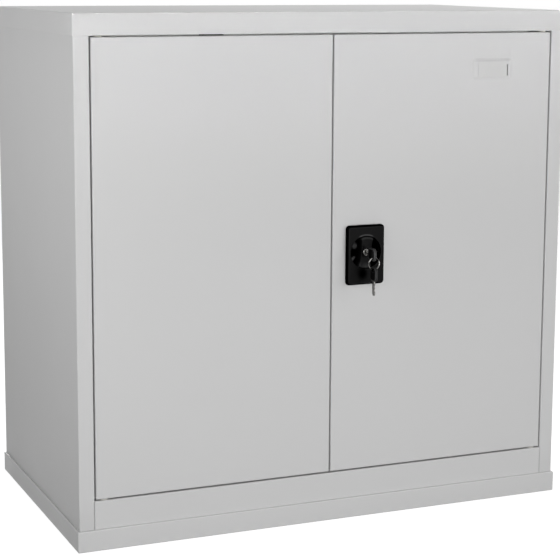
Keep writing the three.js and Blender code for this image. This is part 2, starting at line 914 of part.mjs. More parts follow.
// Key blade lying along Y: Y is zero at the bow's shoulder and the tip points to the rear
function makeKeyBlade() {
  const half = bladeWidth / 2;
  const tip = half * bladeTipShare;
  const shape = new THREE.Shape();
  shape.moveTo(-bladeRoot, -half);
  shape.lineTo(bladeLength - half, -half);
  shape.lineTo(bladeLength, -tip);
  shape.lineTo(bladeLength, tip);
  shape.lineTo(bladeLength - half, half);
  shape.lineTo(-bladeRoot, half);
  return prism(shape, bladeThickness)
    .applyMatrix4(towardsRight)
    .translate(-bladeThickness / 2, 0, 0);
}

// Moulded bow of a key in the same place, with its slot for the ring and its pocket for the blade's root
function makeKeyBow() {
  const outline = roundedRectangle(bowLength, bowWidth, bowCornerRadius, -bowLength / 2, 0);
  const slotMiddle = bowSlotInset - bowLength;
  outline.holes.push(roundedRectangle(bowSlotWidth, bowSlotLength, bowSlotWidth / 2, slotMiddle, 0));
  const bow = prism(outline, bowThickness)
    .applyMatrix4(towardsRight)
    .translate(-bowThickness / 2, 0, 0);
  const pocketX = bladeThickness / 2 + fit;
  const pocketZ = bladeWidth / 2 + fit;
  return cut(bow, block(-pocketX, pocketX, -bladeRoot - fit, overrun, -pocketZ, pocketZ));
}

// Carcass: everything that stays put
const carcass = new THREE.Group();
cabinet.add(carcass);
addPiece(carcass, "base_plinth", makePlinth(), "powderCoat");
addPiece(carcass, "bottom_panel", makeBottomPanel(), "powderCoat");
addPiece(carcass, "top_cap", makeTopCap(), "powderCoat");
addPiece(carcass, "top_cap_rear_skirt", makeCapRearSkirt(), "powderCoat");
addPiece(carcass, "top_rail", makeTopRail(), "powderCoat");
addPiece(carcass, "back_panel", makeBackPanel(), "powderCoat");
const sides = [
  ["left", -1],
  ["right", 1],
];
const uprightPlaces = [
  ["front", uprightFrontSetback],
  ["rear", backFront - uprightRearSetback - uprightWidth],
];
const shelfPlaces = [
  ["lower", floorHeight + shelfSlots[0] * slotPitch],
  ["upper", floorHeight + shelfSlots[1] * slotPitch],
];
for (const [sideName, side] of sides) {
  addPiece(carcass, `${sideName}_side_panel`, makeSidePanel(), "powderCoat").scale.x = -side;
  for (const [placeName, setback] of uprightPlaces) {
    const upright = addPiece(carcass, `${placeName}_${sideName}_upright`, makeUpright(), "zinc");
    upright.scale.x = -side;
    upright.position.y = setback;
    for (const [shelfName, height] of shelfPlaces) {
      const name = `${shelfName}_shelf_clip_${placeName}_${sideName}`;
      const clip = addPiece(carcass, name, makeClip(), "zinc");
      clip.scale.x = -side;
      clip.position.set(side * uprightFace, setback + uprightWidth / 2, height);
    }
  }
  const lowerPin = addPiece(carcass, `lower_${sideName}_hinge_pin`, makeHingePin(), "zinc");
  lowerPin.position.set(side * hingeOffset, hingeSetback, floorHeight);
  const upperPin = addPiece(carcass, `upper_${sideName}_hinge_pin`, makeHingePin(), "zinc");
  upperPin.position.set(side * hingeOffset, hingeSetback, capSkirt);
  upperPin.rotation.x = Math.PI;
  for (const [bufferName, offset] of [
    ["inner", bufferInnerOffset],
    ["outer", bufferOuterOffset],
  ]) {
    const pad = barAlongY(bufferRadius, 0, bufferHeight, 0, 0, smallSides);
    const buffer = addPiece(carcass, `${bufferName}_${sideName}_door_buffer`, pad, "rubber");
    buffer.position.set(side * offset, doorThickness + fit, capSkirt - (sheet + stopFlange) / 2);
  }
}
for (const [shelfName, height] of shelfPlaces) {
  addPiece(carcass, `${shelfName}_shelf`, makeShelf(), "powderCoat").position.z = height + fit;
}
const magnetBlock = block(-magnetWidth / 2, magnetWidth / 2, 0, magnetDepth, -magnetHeight, 0);
const magnet = addPiece(carcass, "left_door_magnet", magnetBlock, "blackPlastic");
magnet.position.set(-magnetOffset, doorThickness + fit, capSkirt - bendRadius - fit);

// Doors, each with its stiffener and its two hinge bushes
function addDoor(sideName, side, panel) {
  const door = new THREE.Group();
  cabinet.add(door);
  addPiece(door, `${sideName}_door`, panel, "powderCoat");
  const stiffener = addPiece(door, `${sideName}_door_stiffener`, makeStiffener(), "powderCoat");
  stiffener.position.x = side * doorMiddle;
  const lowerBush = addPiece(door, `lower_${sideName}_hinge_bush`, makeHingeBush(), "nylon");
  lowerBush.position.set(side * hingeOffset, hingeSetback, floorHeight);
  const upperBush = addPiece(door, `upper_${sideName}_hinge_bush`, makeHingeBush(), "nylon");
  upperBush.position.set(side * hingeOffset, hingeSetback, capSkirt);
  upperBush.rotation.x = Math.PI;
  return door;
}

addDoor("left", -1, makeDoorPan(-1));
const rightDoor = addDoor("right", 1, makeRightDoor());
addPiece(rightDoor, "lock_plate", makeLockPlate(), "blackPlastic");
addPiece(rightDoor, "lock_housing", makeLockHousing(), "blackPlastic");
for (const [screwName, offset] of [
  ["upper", screwUpperOffset],
  ["lower", -screwLowerOffset],
]) {
  const screw = addPiece(rightDoor, `${screwName}_lock_screw`, makeLockScrew(), "zinc");
  screw.position.set(lockOffset, 0, lockHeight + offset);
}
addPiece(rightDoor, "upper_bolt_guide", makeBoltGuide(doorTop - guideInset), "nylon");
addPiece(rightDoor, "lower_bolt_guide", makeBoltGuide(doorBottom + guideInset), "nylon");
const card = block(
  -cardWidth / 2,
  cardWidth / 2,
  labelDepth - fit - cardThickness,
  labelDepth - fit,
  -cardTall / 2,
  cardTall / 2,
);
addPiece(rightDoor, "label_card", card, "paper").position.set(
  labelOffset + cardShift,
  0,
  labelHeight - cardDrop,
);

// Lock works, hung on the knob's axis
const lockWorks = new THREE.Group();
lockWorks.position.set(lockOffset, 0, lockHeight);
rightDoor.add(lockWorks);
addPiece(lockWorks, "lock_knob", makeKnob(), "blackPlastic");
addPiece(lockWorks, "scroll_disc", makeScrollDisc(), "zinc");
addPiece(lockWorks, "latch_tongue", makeTongue(), "zinc");
addPiece(lockWorks, "tongue_screw", makeEndScrew(), "zinc");
addPiece(rightDoor, "upper_bolt", makeBolt(1, doorTop - fit), "zinc");
addPiece(rightDoor, "lower_bolt", makeBolt(-1, doorBottom + fit), "zinc");

// Key cylinder with the key in it
addPiece(lockWorks, "key_cylinder", makeKeyCylinder(), "nickel");
addPiece(lockWorks, "key_blade", makeKeyBlade(), "nickel").position.y = bowInner;
addPiece(lockWorks, "key_bow", makeKeyBow(), "blackPlastic").position.y = bowInner;

// Ring through the bow, and the spare key that hangs from it
const ring = new THREE.TorusGeometry(ringRadius, ringWireRadius, wireSides, roundSides);
const keyRing = addPiece(rightDoor, "key_ring", ring.rotateX(quarterTurn), "nickel");
keyRing.position.set(lockOffset, ringSetback, ringMiddleHeight);
for (const [name, geometry, finish] of [
  ["spare_key_blade", makeKeyBlade(), "nickel"],
  ["spare_key_bow", makeKeyBow(), "blackPlastic"],
]) {
  const piece = addPiece(rightDoor, name, geometry, finish);
  piece.rotation.x = -quarterTurn;
  piece.position.set(lockOffset, ringSetback, spareEndHeight - bowLength);
}

// The footprint's middle becomes the origin of X and Y
const footprint = new THREE.Box3().setFromObject(cabinet, true).getCenter(new THREE.Vector3());
cabinet.position.set(-footprint.x, -footprint.y, 0);

export default cabinet;
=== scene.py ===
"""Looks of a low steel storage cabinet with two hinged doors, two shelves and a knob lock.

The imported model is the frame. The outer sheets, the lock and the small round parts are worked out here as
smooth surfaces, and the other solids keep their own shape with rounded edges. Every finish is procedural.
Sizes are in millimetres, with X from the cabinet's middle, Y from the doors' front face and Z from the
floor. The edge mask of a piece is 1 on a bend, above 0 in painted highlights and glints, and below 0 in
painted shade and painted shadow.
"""

import math

import bmesh
import bpy
import numpy as np
from mathutils import Matrix, Vector


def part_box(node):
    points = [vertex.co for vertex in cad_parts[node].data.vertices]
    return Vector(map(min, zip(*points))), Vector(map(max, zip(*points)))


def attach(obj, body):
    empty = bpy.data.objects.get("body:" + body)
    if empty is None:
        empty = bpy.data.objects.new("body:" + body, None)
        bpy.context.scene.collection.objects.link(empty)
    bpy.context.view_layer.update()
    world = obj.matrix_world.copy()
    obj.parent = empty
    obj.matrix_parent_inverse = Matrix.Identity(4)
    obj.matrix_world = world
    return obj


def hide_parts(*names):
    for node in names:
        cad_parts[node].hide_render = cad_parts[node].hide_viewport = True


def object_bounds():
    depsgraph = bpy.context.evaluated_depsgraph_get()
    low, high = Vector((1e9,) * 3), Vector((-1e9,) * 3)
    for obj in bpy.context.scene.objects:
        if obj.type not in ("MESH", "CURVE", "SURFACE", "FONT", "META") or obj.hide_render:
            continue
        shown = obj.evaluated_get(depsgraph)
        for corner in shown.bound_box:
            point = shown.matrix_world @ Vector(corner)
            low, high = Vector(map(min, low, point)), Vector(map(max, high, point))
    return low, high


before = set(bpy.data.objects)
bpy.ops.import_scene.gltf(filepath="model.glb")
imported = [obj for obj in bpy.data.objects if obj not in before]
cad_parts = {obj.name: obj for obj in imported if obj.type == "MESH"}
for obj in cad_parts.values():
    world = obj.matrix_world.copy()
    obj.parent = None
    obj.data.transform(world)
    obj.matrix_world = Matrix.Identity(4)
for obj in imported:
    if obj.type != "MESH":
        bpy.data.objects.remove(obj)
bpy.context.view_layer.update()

MM = 0.001
FACE_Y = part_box("left_door")[0].y / MM
UP, FORWARD = (0, 0, 1), (0, -1, 0)

# Folded sheet steel, with the close points that keep its flats flat beside a bend
SHEET, PLINTH_SHEET = 0.8, 1.2
BEND, BEND_STEPS = 1.8, 6
SUPPORT, MARGIN = 0.7, 4.0
GRID_STEP, WALL_STEP = 60.0, 70.0
JAMB_DEPTH, REAR_FLANGE = 25.0, 15.0
SHELF_LIP, PLINTH_FOOT, PLINTH_TOP = 15.0, 20.0, 30.0
# Strength of the painted shade in the seam of jamb and bottom panel
SEAM_SHADE = -6.0

# Angle behind each seam of jamb and bottom panel
ANGLE_DEPTH, ANGLE_WIDTH, ANGLE_BEND = 24.0, 14.0, 1.0
ANGLE_FRONT, ANGLE_FIT, ANGLE_FOOT, ANGLE_TOP = 1.3, 0.1, 0.5, 1.4

# Doors, with half the size of the holes in their edges and of the opening behind the lock
DOOR_THICKNESS, DOOR_LIP, DOOR_GAP = 20.0, 18.0, 2.5
HINGE_X, HINGE_Y, BUSH_HOLE = 407.0, 8.0, 5.3
BOLT_Y, BOLT_HOLE_WIDE, BOLT_HOLE_DEEP = 12.9, 7.0, 2.0
SKIN_CUT = 31.5
THROUGH = 3.0

# Card recess: its slopes, the calm sheet round it, its band of painted shadow, the painted light on its
# slopes, and the slits beside the card
LABEL_X, LABEL_Z = 305.0, 780.0
LABEL_WIDTH, LABEL_TALL, LABEL_DEPTH = 78.0, 38.0, 1.5
LABEL_LEFT, LABEL_RIGHT = LABEL_X - LABEL_WIDTH / 2, LABEL_X + LABEL_WIDTH / 2
LABEL_LOW, LABEL_HIGH = LABEL_Z - LABEL_TALL / 2, LABEL_Z + LABEL_TALL / 2
SIDE_SLOPE, LOWER_SLOPE, UPPER_SLOPE, SLOPE_LINES = 3.6, 5.0, 4.5, 5
CALM_SIZE, CALM_REACH = (30.0, 20.0), 4.0
BAND_TALL, BAND_FADE, BAND_END = 8.0, 2.0, 9.0
SLOPE_LIGHT, BAND_SHADE = 2.2, 5.2
SLITS = ((277.2, 277.4), (335.6, 337.1))
SLIT_LOW, SLIT_HIGH = 767.1, 786.6

# Lock plate, measured as in the solids
LOCK_X, LOCK_Z = 61.0, 471.0
LOCK = (LOCK_X, 0, LOCK_Z)
PLATE_WIDTH, PLATE_HEIGHT, PLATE_CORNER, PLATE_DROP = 71.0, 103.0, 6.0, 5.0
PLATE_FRONT, PLATE_REAR, BOSS_REAR = -8.0, -0.3, 0.8
BORE, BOSS_WALL = 28.5, 2.5

# Knob: its hourglass grip, the flanks and the rim of the grip, and the dished floor beside it
KNOB_RADIUS, KNOB_BORE = 27.5, 6.3
GRIP_FRONT, GRIP_WAIST, GRIP_END, GRIP_CROWN = -9.5, 9.3, 12.0, 0.5
GRIP_LEAN = math.radians(5)
FLANK_START, FLANK_WIDTH = 0.8, 4.4
RIM_DROP, RIM_WIDTH = 1.3, 1.6
DISH_FLOOR, DISH_SINK, DISH_START = 1.8, 1.2, 8.0

# Key cylinder, keys and ring
CYLINDER_RADIUS, CYLINDER_FRONT, CYLINDER_REAR = 6.0, -8.5, 9.0
KEYWAY_WIDTH, KEYWAY_HEIGHT, KEYWAY_CORNER = 2.6, 8.6, 0.3
KEY_STAND, BLADE_LENGTH, BLADE_ROOT = 11.5, 24.5, 3.0
BOW_LENGTH, BOW_WIDTH, BOW_CORNER, BOW_THICKNESS = 25.0, 22.0, 7.0, 5.0
SLOT_WIDTH, SLOT_LENGTH, SLOT_CORNER, SLOT_INSET = 4.4, 12.0, 2.19, 5.5
RING_RADIUS, RING_FIT, RING_START, WIRE_SIDES = 10.0, 1.1, 0.6, 12


def extent(node):
    """Lowest and highest corner of a node, in the cabinet's own millimetres."""
    low, high = (np.array(corner) / MM - (0, FACE_Y, 0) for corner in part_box(node))
    return low, high


OPENING = DOOR_GAP - extent("left_door")[0][0]


# -------- meshes


def quads(rows, columns, closed_rows=False, closed_columns=False):
    """Faces between neighbouring points of a grid, as indices into its points laid out row by row."""
    r, c = np.meshgrid(
        np.arange(rows if closed_rows else rows - 1),
        np.arange(columns if closed_columns else columns - 1),
        indexing="ij",
    )
    below, beside = (r + 1) % rows, (c + 1) % columns
    corners = (r * columns + c, r * columns + beside, below * columns + beside, below * columns + c)
    return np.stack(corners, -1).reshape(-1, 4)


def without(points, faces, boxes):
    """The faces whose middle lies outside every box."""
    middles = points[faces].mean(1)
    keep = np.ones(len(faces), bool)
    for low, high in boxes:
        keep &= ~((middles > low) & (middles < high)).all(1)
    return faces[keep]


def signed_volume(mesh):
    """Six times the enclosed volume: the sum over the triangles of a . (b x c)."""
    mesh.calc_loop_triangles()
    points = np.zeros(len(mesh.vertices) * 3)
    mesh.vertices.foreach_get("co", points)
    index = np.zeros(len(mesh.loop_triangles) * 3, np.int32)
    mesh.loop_triangles.foreach_get("vertices", index)
    a, b, c = points.reshape(-1, 3)[index.reshape(-1, 3)].transpose(1, 0, 2)
    return float((a * np.cross(b, c)).sum())


def facing(mesh, direction):
    """How far an open sheet faces a direction: the sum over its faces of area times normal . direction."""
    normals, areas = np.zeros(len(mesh.polygons) * 3), np.zeros(len(mesh.polygons))
    mesh.polygons.foreach_get("normal", normals)
    mesh.polygons.foreach_get("area", areas)
    return float(areas @ normals.reshape(-1, 3) @ direction)


def piece(name, points, faces, body, finish, stands_for, wall=0.0, towards=None, bevel=0.0, edge=None,
          crease=32.0):
    """One finished piece: its points in millimetres become a mesh in the frame, which gets its wall and its
    bevel, faces outwards, is smooth up to the crease angle in degrees, and rides on its body."""
    mesh = bpy.data.meshes.new(name)
    mesh.from_pydata(((points + (0, FACE_Y, 0)) * MM).tolist(), [], faces.tolist())
    if edge is not None:
        mesh.attributes.new("edge", "FLOAT", "POINT").data.foreach_set("value", edge.astype(np.float32))
    work = bmesh.new()
    work.from_mesh(mesh)
    bmesh.ops.remove_doubles(work, verts=work.verts, dist=2e-6)
    bmesh.ops.recalc_face_normals(work, faces=work.faces)
    work.to_mesh(mesh)
    work.free()
    if towards and facing(mesh, towards) < 0:
        mesh.flip_normals()
    made = bpy.data.objects.new(name, mesh)
    bpy.context.scene.collection.objects.link(made)
    if wall:
        thick = made.modifiers.new("wall", "SOLIDIFY")
        thick.thickness = wall * MM
        thick.offset = -1.0
        thick.use_even_offset = True
        thick.use_quality_normals = True
    if bevel:
        add_bevel(made, bevel)
    if made.modifiers:
        evaluated = made.evaluated_get(bpy.context.evaluated_depsgraph_get())
        mesh = bpy.data.meshes.new_from_object(evaluated)
        made.modifiers.clear()
        made.data = mesh
    if signed_volume(mesh) < 0:
        mesh.flip_normals()
    mesh.shade_smooth()
    mesh.set_sharp_from_angle(angle=math.radians(crease))
    mesh.materials.append(FINISHES[finish])
    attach(made, body)
    if stands_for:
        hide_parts(*stands_for)


def add_bevel(target, width):
    """A two-step bevel on every edge sharper than 35 degrees."""
    rounding = target.modifiers.new("bevel", "BEVEL")
    rounding.width = width * MM
    rounding.segments = 2
    rounding.limit_method = "ANGLE"
    rounding.angle_limit = math.radians(35)
    rounding.use_clamp_overlap = True


def bent_path(corners, radius=BEND):
    """A polyline whose inner corners are arcs. A corner P between directions a and b starts its arc at
    P - a * radius * tan(turn / 2), and stays a point where nothing turns. Close points beside each arc keep
    the flats flat. Returns the points and how much each lies on a bend."""
    corners = np.array(corners, float)
    points, weights = [corners[0]], [0.0]
    for before, corner, after in zip(corners, corners[1:], corners[2:]):
        a = (corner - before) / np.linalg.norm(corner - before)
        b = (after - corner) / np.linalg.norm(after - corner)
        turn = math.atan2(a[0] * b[1] - a[1] * b[0], a @ b)
        if abs(turn) < 1e-3:
            points.append(corner)
            weights.append(0.0)
            continue
        reach = radius * math.tan(abs(turn) / 2)
        start = corner - a * reach
        centre = start + np.array([-a[1], a[0]]) * math.copysign(radius, turn)
        angles = np.linspace(0, turn, BEND_STEPS + 1)
        spoke = start - centre
        arc = centre + np.stack(
            [
                spoke[0] * np.cos(angles) - spoke[1] * np.sin(angles),
                spoke[0] * np.sin(angles) + spoke[1] * np.cos(angles),
            ],
            -1,
        )
        points += [start - a * SUPPORT, *arc, corner + b * (reach + SUPPORT)]
        weights += [0.0, *([1.0] * len(arc)), 0.0]
    return np.array(points + [corners[-1]]), np.array(weights + [0.0])


def even_lines(low, high, step, extra=()):
    """Even lines from low to high no further apart than step, with the extra ones added."""
    count = max(2, int(math.ceil((high - low) / step)) + 1)
    inner = np.array([x for x in extra if low < x < high], float)
    even = np.linspace(low, high, count)[1:-1]
    far = [x for x in even if not len(inner) or abs(inner - x).min() > 0.25]
    return np.unique(np.concatenate([[low, high], far, inner]))


def soft_step(x):
    """3x^2 - 2x^3 between 0 and 1, flat outside."""
    x = np.clip(x, 0, 1)
    return x * x * (3 - 2 * x)


def spot(x, z, place, size, reach):
    """A soft patch about a place: soft step of reach minus the distance, counted in the patch's sizes."""
    return soft_step(reach - np.hypot((x - place[0]) / size[0], (z - place[1]) / size[1]))


def sheet_wave(u, v, half_u, half_v, height):
    """Slight unevenness of a large flat sheet: products of long sines that vanish along its edges."""
    rim = (1 - (u / half_u) ** 2) * (1 - (v / half_v) ** 2)
    wave = np.sin(2.1 * u / half_u + 0.4) * np.sin(3.2 * v / half_v + 1.1) + 0.6 * np.sin(5.3 * v / half_v)
    return height * rim * wave


def pan(half_u, half_v, path, relief, lines_u=(), lines_v=()):
    """A folded pan in its own (u, v, w), with its face on w = 0. The path of (inset, drop) pairs is carried
    round the rectangle with mitred corners: a point at inset i lies on the rectangle made smaller by i, and
    lines beyond that rectangle end in its corner. Inside the last loop the face is a grid, lowered by
    relief(u, v), or is left open where there is none. Returns points, faces and bends."""
    profile, weights = bent_path(path)
    inset = profile[-1, 0]
    u_lines = even_lines(inset - half_u, half_u - inset, GRID_STEP, lines_u)
    v_lines = even_lines(inset - half_v, half_v - inset, GRID_STEP, lines_v)
    nu, nv = len(u_lines), len(v_lines)
    u = np.concatenate(
        [u_lines[:-1], np.full(nv - 1, u_lines[-1]), u_lines[:0:-1], np.full(nv - 1, u_lines[0])]
    )
    v = np.concatenate(
        [np.full(nu - 1, v_lines[0]), v_lines[:-1], np.full(nu - 1, v_lines[-1]), v_lines[:0:-1]]
    )
    side_u = (u == u_lines[-1]).astype(float) - (u == u_lines[0])
    side_v = (v == v_lines[-1]).astype(float) - (v == v_lines[0])
    at = profile[:, :1]
    loops = np.stack(
        [
            np.where(side_u, side_u * (half_u - at), np.clip(u, at - half_u, half_u - at)),
            np.where(side_v, side_v * (half_v - at), np.clip(v, at - half_v, half_v - at)),
            np.repeat(-profile[:, 1:], len(u), 1),
        ],
        -1,
    ).reshape(-1, 3)
    band, bends = quads(len(profile), len(u), closed_columns=True), np.repeat(weights, len(u))
    if relief is None:
        return loops, band, bends
    gu, gv = np.meshgrid(u_lines, v_lines, indexing="ij")
    low = np.zeros_like(gu)
    low[1:-1, 1:-1] = relief(gu, gv)[1:-1, 1:-1]
    face = np.stack([gu, gv, -low], -1).reshape(-1, 3)
    faces = np.concatenate([band, quads(nu, nv) + len(loops)])
    return np.concatenate([loops, face]), faces, np.concatenate([bends, np.zeros(len(face))])


def drawn_up(path, levels, side):
    """A path of (x, y) pairs on the cabinet's left, drawn up along Z through the levels, and mirrored where
    side is 1."""
    across = np.repeat(path[:, :1] * -side, len(levels), 1)
    along, up = np.repeat(path[:, 1:], len(levels), 1), np.repeat(levels[None], len(path), 0)
    return np.stack([across, along, up], -1).reshape(-1, 3), quads(len(path), len(levels))


def once_round(count):
    """Even angles of one full turn."""
    return np.linspace(0, 2 * math.pi, count, endpoint=False)


def tube(rings):
    """Points and faces of a tube of closed rings."""
    return rings.reshape(-1, 3), quads(*rings.shape[:2], closed_columns=True)


def turned(profile, angle):
    """Rings about the Y axis for (radius, place) pairs: x = r cos a, z = r sin a."""
    radius, place = np.array(profile, float).T[..., None]
    return np.stack([radius * np.cos(angle), np.repeat(place, len(angle), 1), radius * np.sin(angle)], -1)


def lathe(profile, centre, axis, around):
    """A profile of (radius, place) pairs turned about the Y or the Z axis."""
    points, faces = tube(turned(profile, once_round(around)))
    return (points[:, [0, 2, 1]] if axis == "z" else points) + centre, faces


def round_outline(width, height, radius, per_corner, per_side):
    """Stations round a rectangle with rounded corners, as the point on its inner core and the outward
    normal there. The outline grown by g is core + (radius + g) * normal."""
    core, normal = [], []
    corners = np.array([(1, 1), (-1, 1), (-1, -1), (1, -1)]) * (width / 2 - radius, height / 2 - radius)
    for k, (corner, following) in enumerate(zip(corners, np.roll(corners, -1, 0))):
        angle = k * math.pi / 2 + np.linspace(0, math.pi / 2, per_corner)
        ring = np.stack([np.cos(angle), np.sin(angle)], -1)
        share = np.linspace(0, 1, per_side + 2)[1:-1, None]
        core += [np.repeat(corner[None], per_corner, 0), corner + (following - corner) * share]
        normal += [ring, np.repeat(ring[-1:], per_side, 0)]
    return np.concatenate(core), np.concatenate(normal)


def ringed(rings, across):
    """A closed surface of rings, joined in turn and back to the first. Each has its stations in a plane and
    its place along the axis across."""
    points = np.stack([np.insert(flat, across, place, axis=1) for flat, place in rings])
    return points.reshape(-1, 3), quads(*points.shape[:2], True, True)


# -------- finishes


def feed(tree, value, socket):
    """Links a node's socket to another one, or sets it to a value."""
    if isinstance(value, bpy.types.NodeSocket):
        tree.links.new(value, socket)
    else:
        socket.default_value = value


def add_node(tree, kind, *values, operation=None, group=None, **named):
    """The outputs of a new node. Its inputs are linked or set in turn and by name, where an underscore
    stands for a space."""
    node = tree.nodes.new(kind)
    if operation:
        node.operation = operation
    if group:
        node.node_tree = group
    for value, socket in zip(values, node.inputs):
        feed(tree, value, socket)
    for label, value in named.items():
        feed(tree, value, node.inputs[label.replace("_", " ")])
    return node.outputs


def math_node(tree, operation, *values):
    """The result of a Math node."""
    return add_node(tree, "ShaderNodeMath", *values, operation=operation)[0]


def noise(tree, vector, scale, detail, roughness=0.5):
    """The value of a noise texture."""
    return add_node(
        tree, "ShaderNodeTexNoise", Vector=vector, Scale=scale, Detail=detail, Roughness=roughness
    )["Fac"]


def about_zero(tree, value, strength):
    """A noise turned into strength * (noise - 1/2)."""
    return math_node(tree, "MULTIPLY", math_node(tree, "SUBTRACT", value, 0.5), strength)


def new_group(name, inputs, outputs):
    """An empty shader group with its inputs and outputs, numbers unless their name says otherwise."""
    kinds = {"Vector": "NodeSocketVector", "Stretch": "NodeSocketVector", "Color": "NodeSocketColor"}
    group = bpy.data.node_groups.new(name, "ShaderNodeTree")
    for way, labels in (("INPUT", inputs), ("OUTPUT", outputs)):
        for label in labels:
            kind = kinds.get(label, "NodeSocketFloat")
            group.interface.new_socket(name=label, in_out=way, socket_type=kind)
    return group, group.nodes.new("NodeGroupInput").outputs, group.nodes.new("NodeGroupOutput").inputs


def tone_group():
    """Colour made uneven: colour times 1 + patchy * (soft noise - 1/2) + speckle * (fine noise - 1/2)
    + edge lift * edge."""
    group, given, made = new_group(
        "tone_variation",
        ("Vector", "Color", "Patchy", "Patch Scale", "Speckle", "Speckle Scale", "Edge", "Edge Lift"),
        ("Color",),
    )
    patches = about_zero(group, noise(group, given["Vector"], given["Patch Scale"], 3.0), given["Patchy"])
    specks = about_zero(group, noise(group, given["Vector"], given["Speckle Scale"], 1.0), given["Speckle"])
    uneven = math_node(group, "ADD", patches, specks)
    lift = math_node(group, "MULTIPLY_ADD", given["Edge"], given["Edge Lift"], 1.0)
    total = math_node(group, "ADD", uneven, lift)
    scaled = add_node(group, "ShaderNodeVectorMath", given["Color"], operation="SCALE", Scale=total)[0]
    feed(group, scaled, made["Color"])
    return group


def skin_group():
    """Height and roughness of a coated or moulded skin: two noises of different size make the height, and a
    third, wide one shifts the roughness, which falls with the edge mask."""
    group, given, made = new_group(
        "skin_texture",
        ("Vector", "Grain Scale", "Swell Scale", "Swell", "Roughness", "Roughness Spread", "Edge"),
        ("Height", "Roughness"),
    )
    grain = noise(group, given["Vector"], given["Grain Scale"], 2.0, 0.45)
    swell = noise(group, given["Vector"], given["Swell Scale"], 1.0)
    feed(group, math_node(group, "MULTIPLY_ADD", swell, given["Swell"], grain), made["Height"])
    spread = about_zero(group, noise(group, given["Vector"], 14.0, 4.0, 0.6), given["Roughness Spread"])
    worn = math_node(group, "MULTIPLY", given["Edge"], -0.06)
    rough = math_node(group, "ADD", math_node(group, "ADD", spread, worn), given["Roughness"])
    feed(group, rough, made["Roughness"])
    return group


def streak_group():
    """Rolling or polishing streaks: noise squeezed along one direction by the stretch vector."""
    group, given, made = new_group(
        "fine_streaks", ("Vector", "Stretch", "Strength", "Roughness"), ("Height", "Roughness")
    )
    factors = given["Vector"], given["Stretch"]
    stretched = add_node(group, "ShaderNodeVectorMath", *factors, operation="MULTIPLY")[0]
    lines = noise(group, stretched, 1.0, 3.0, 0.6)
    feed(group, lines, made["Height"])
    rough = math_node(group, "ADD", about_zero(group, lines, given["Strength"]), given["Roughness"])
    feed(group, rough, made["Roughness"])
    return group


def uneven_material(name, colour, patches, speckle, lift):
    """A material of uneven tone, with its tree, its shader's inputs, its coordinates and its edge mask."""
    material = bpy.data.materials.new(name)
    material.use_nodes = True
    tree = material.node_tree
    shader = tree.nodes["Principled BSDF"].inputs
    place = add_node(tree, "ShaderNodeTexCoord")["Object"]
    mask = tree.nodes.new("ShaderNodeAttribute")
    mask.attribute_name = "edge"
    edge = mask.outputs["Fac"]
    tone = add_node(
        tree, "ShaderNodeGroup", group=TONE, Vector=place, Color=(*colour, 1), Patchy=patches[0],
        Patch_Scale=patches[1], Speckle=speckle[0], Speckle_Scale=speckle[1], Edge=edge, Edge_Lift=lift,
    )
    feed(tree, tone["Color"], shader["Base Color"])
    return material, tree, shader, place, edge


def add_texture(tree, shader, texture, depth):
    """A texture's roughness, and its height as a bump of that depth."""
    feed(tree, texture["Roughness"], shader["Roughness"])
    bump = add_node(tree, "ShaderNodeBump", Distance=depth * MM, Height=texture["Height"])
    feed(tree, bump["Normal"], shader["Normal"])


def skin_material(name, colour, roughness, grain, swell, depth, patches, speckle, lift=0.0, specular=0.5,
                  coat=0.0):
    """A coated or moulded surface: uneven tone, textured skin and slightly changed bends. Roughness comes
    with its spread, grain with its scale, swell with its scale and share, patches and speckle with their
    strength and scale. The colour is scaled by 1 + lift * edge and a coat shines by coat * (1 + lift *
    edge), so that the edge mask's painted highlights gleam and its painted shade stays dark and dull."""
    material, tree, shader, place, edge = uneven_material(name, colour, patches, speckle, lift)
    skin = add_node(
        tree, "ShaderNodeGroup", group=SKIN, Vector=place, Grain_Scale=grain, Swell_Scale=swell[0],
        Swell=swell[1], Roughness=roughness[0], Roughness_Spread=roughness[1], Edge=edge,
    )
    shader["Specular IOR Level"].default_value = specular
    if coat:
        shine = math_node(tree, "MULTIPLY_ADD", edge, coat * lift, coat)
        feed(tree, math_node(tree, "MAXIMUM", shine, 0.0), shader["Coat Weight"])
        shader["Coat Roughness"].default_value = roughness[0]
    add_texture(tree, shader, skin, depth)
    return material


def metal_material(name, colour, roughness, stretch, strength, depth, patches, lift):
    """Plated steel: streaks along one direction and an uneven plate colour, brighter in the edge mask's
    painted glints.
    """
    material, tree, shader, place = uneven_material(name, colour, patches, (0.03, 3000.0), lift)[:4]
    streaks = add_node(
        tree, "ShaderNodeGroup", group=STREAKS, Vector=place, Stretch=stretch, Strength=strength,
        Roughness=roughness,
    )
    shader["Metallic"].default_value = 1.0
    add_texture(tree, shader, streaks, depth)
    return material


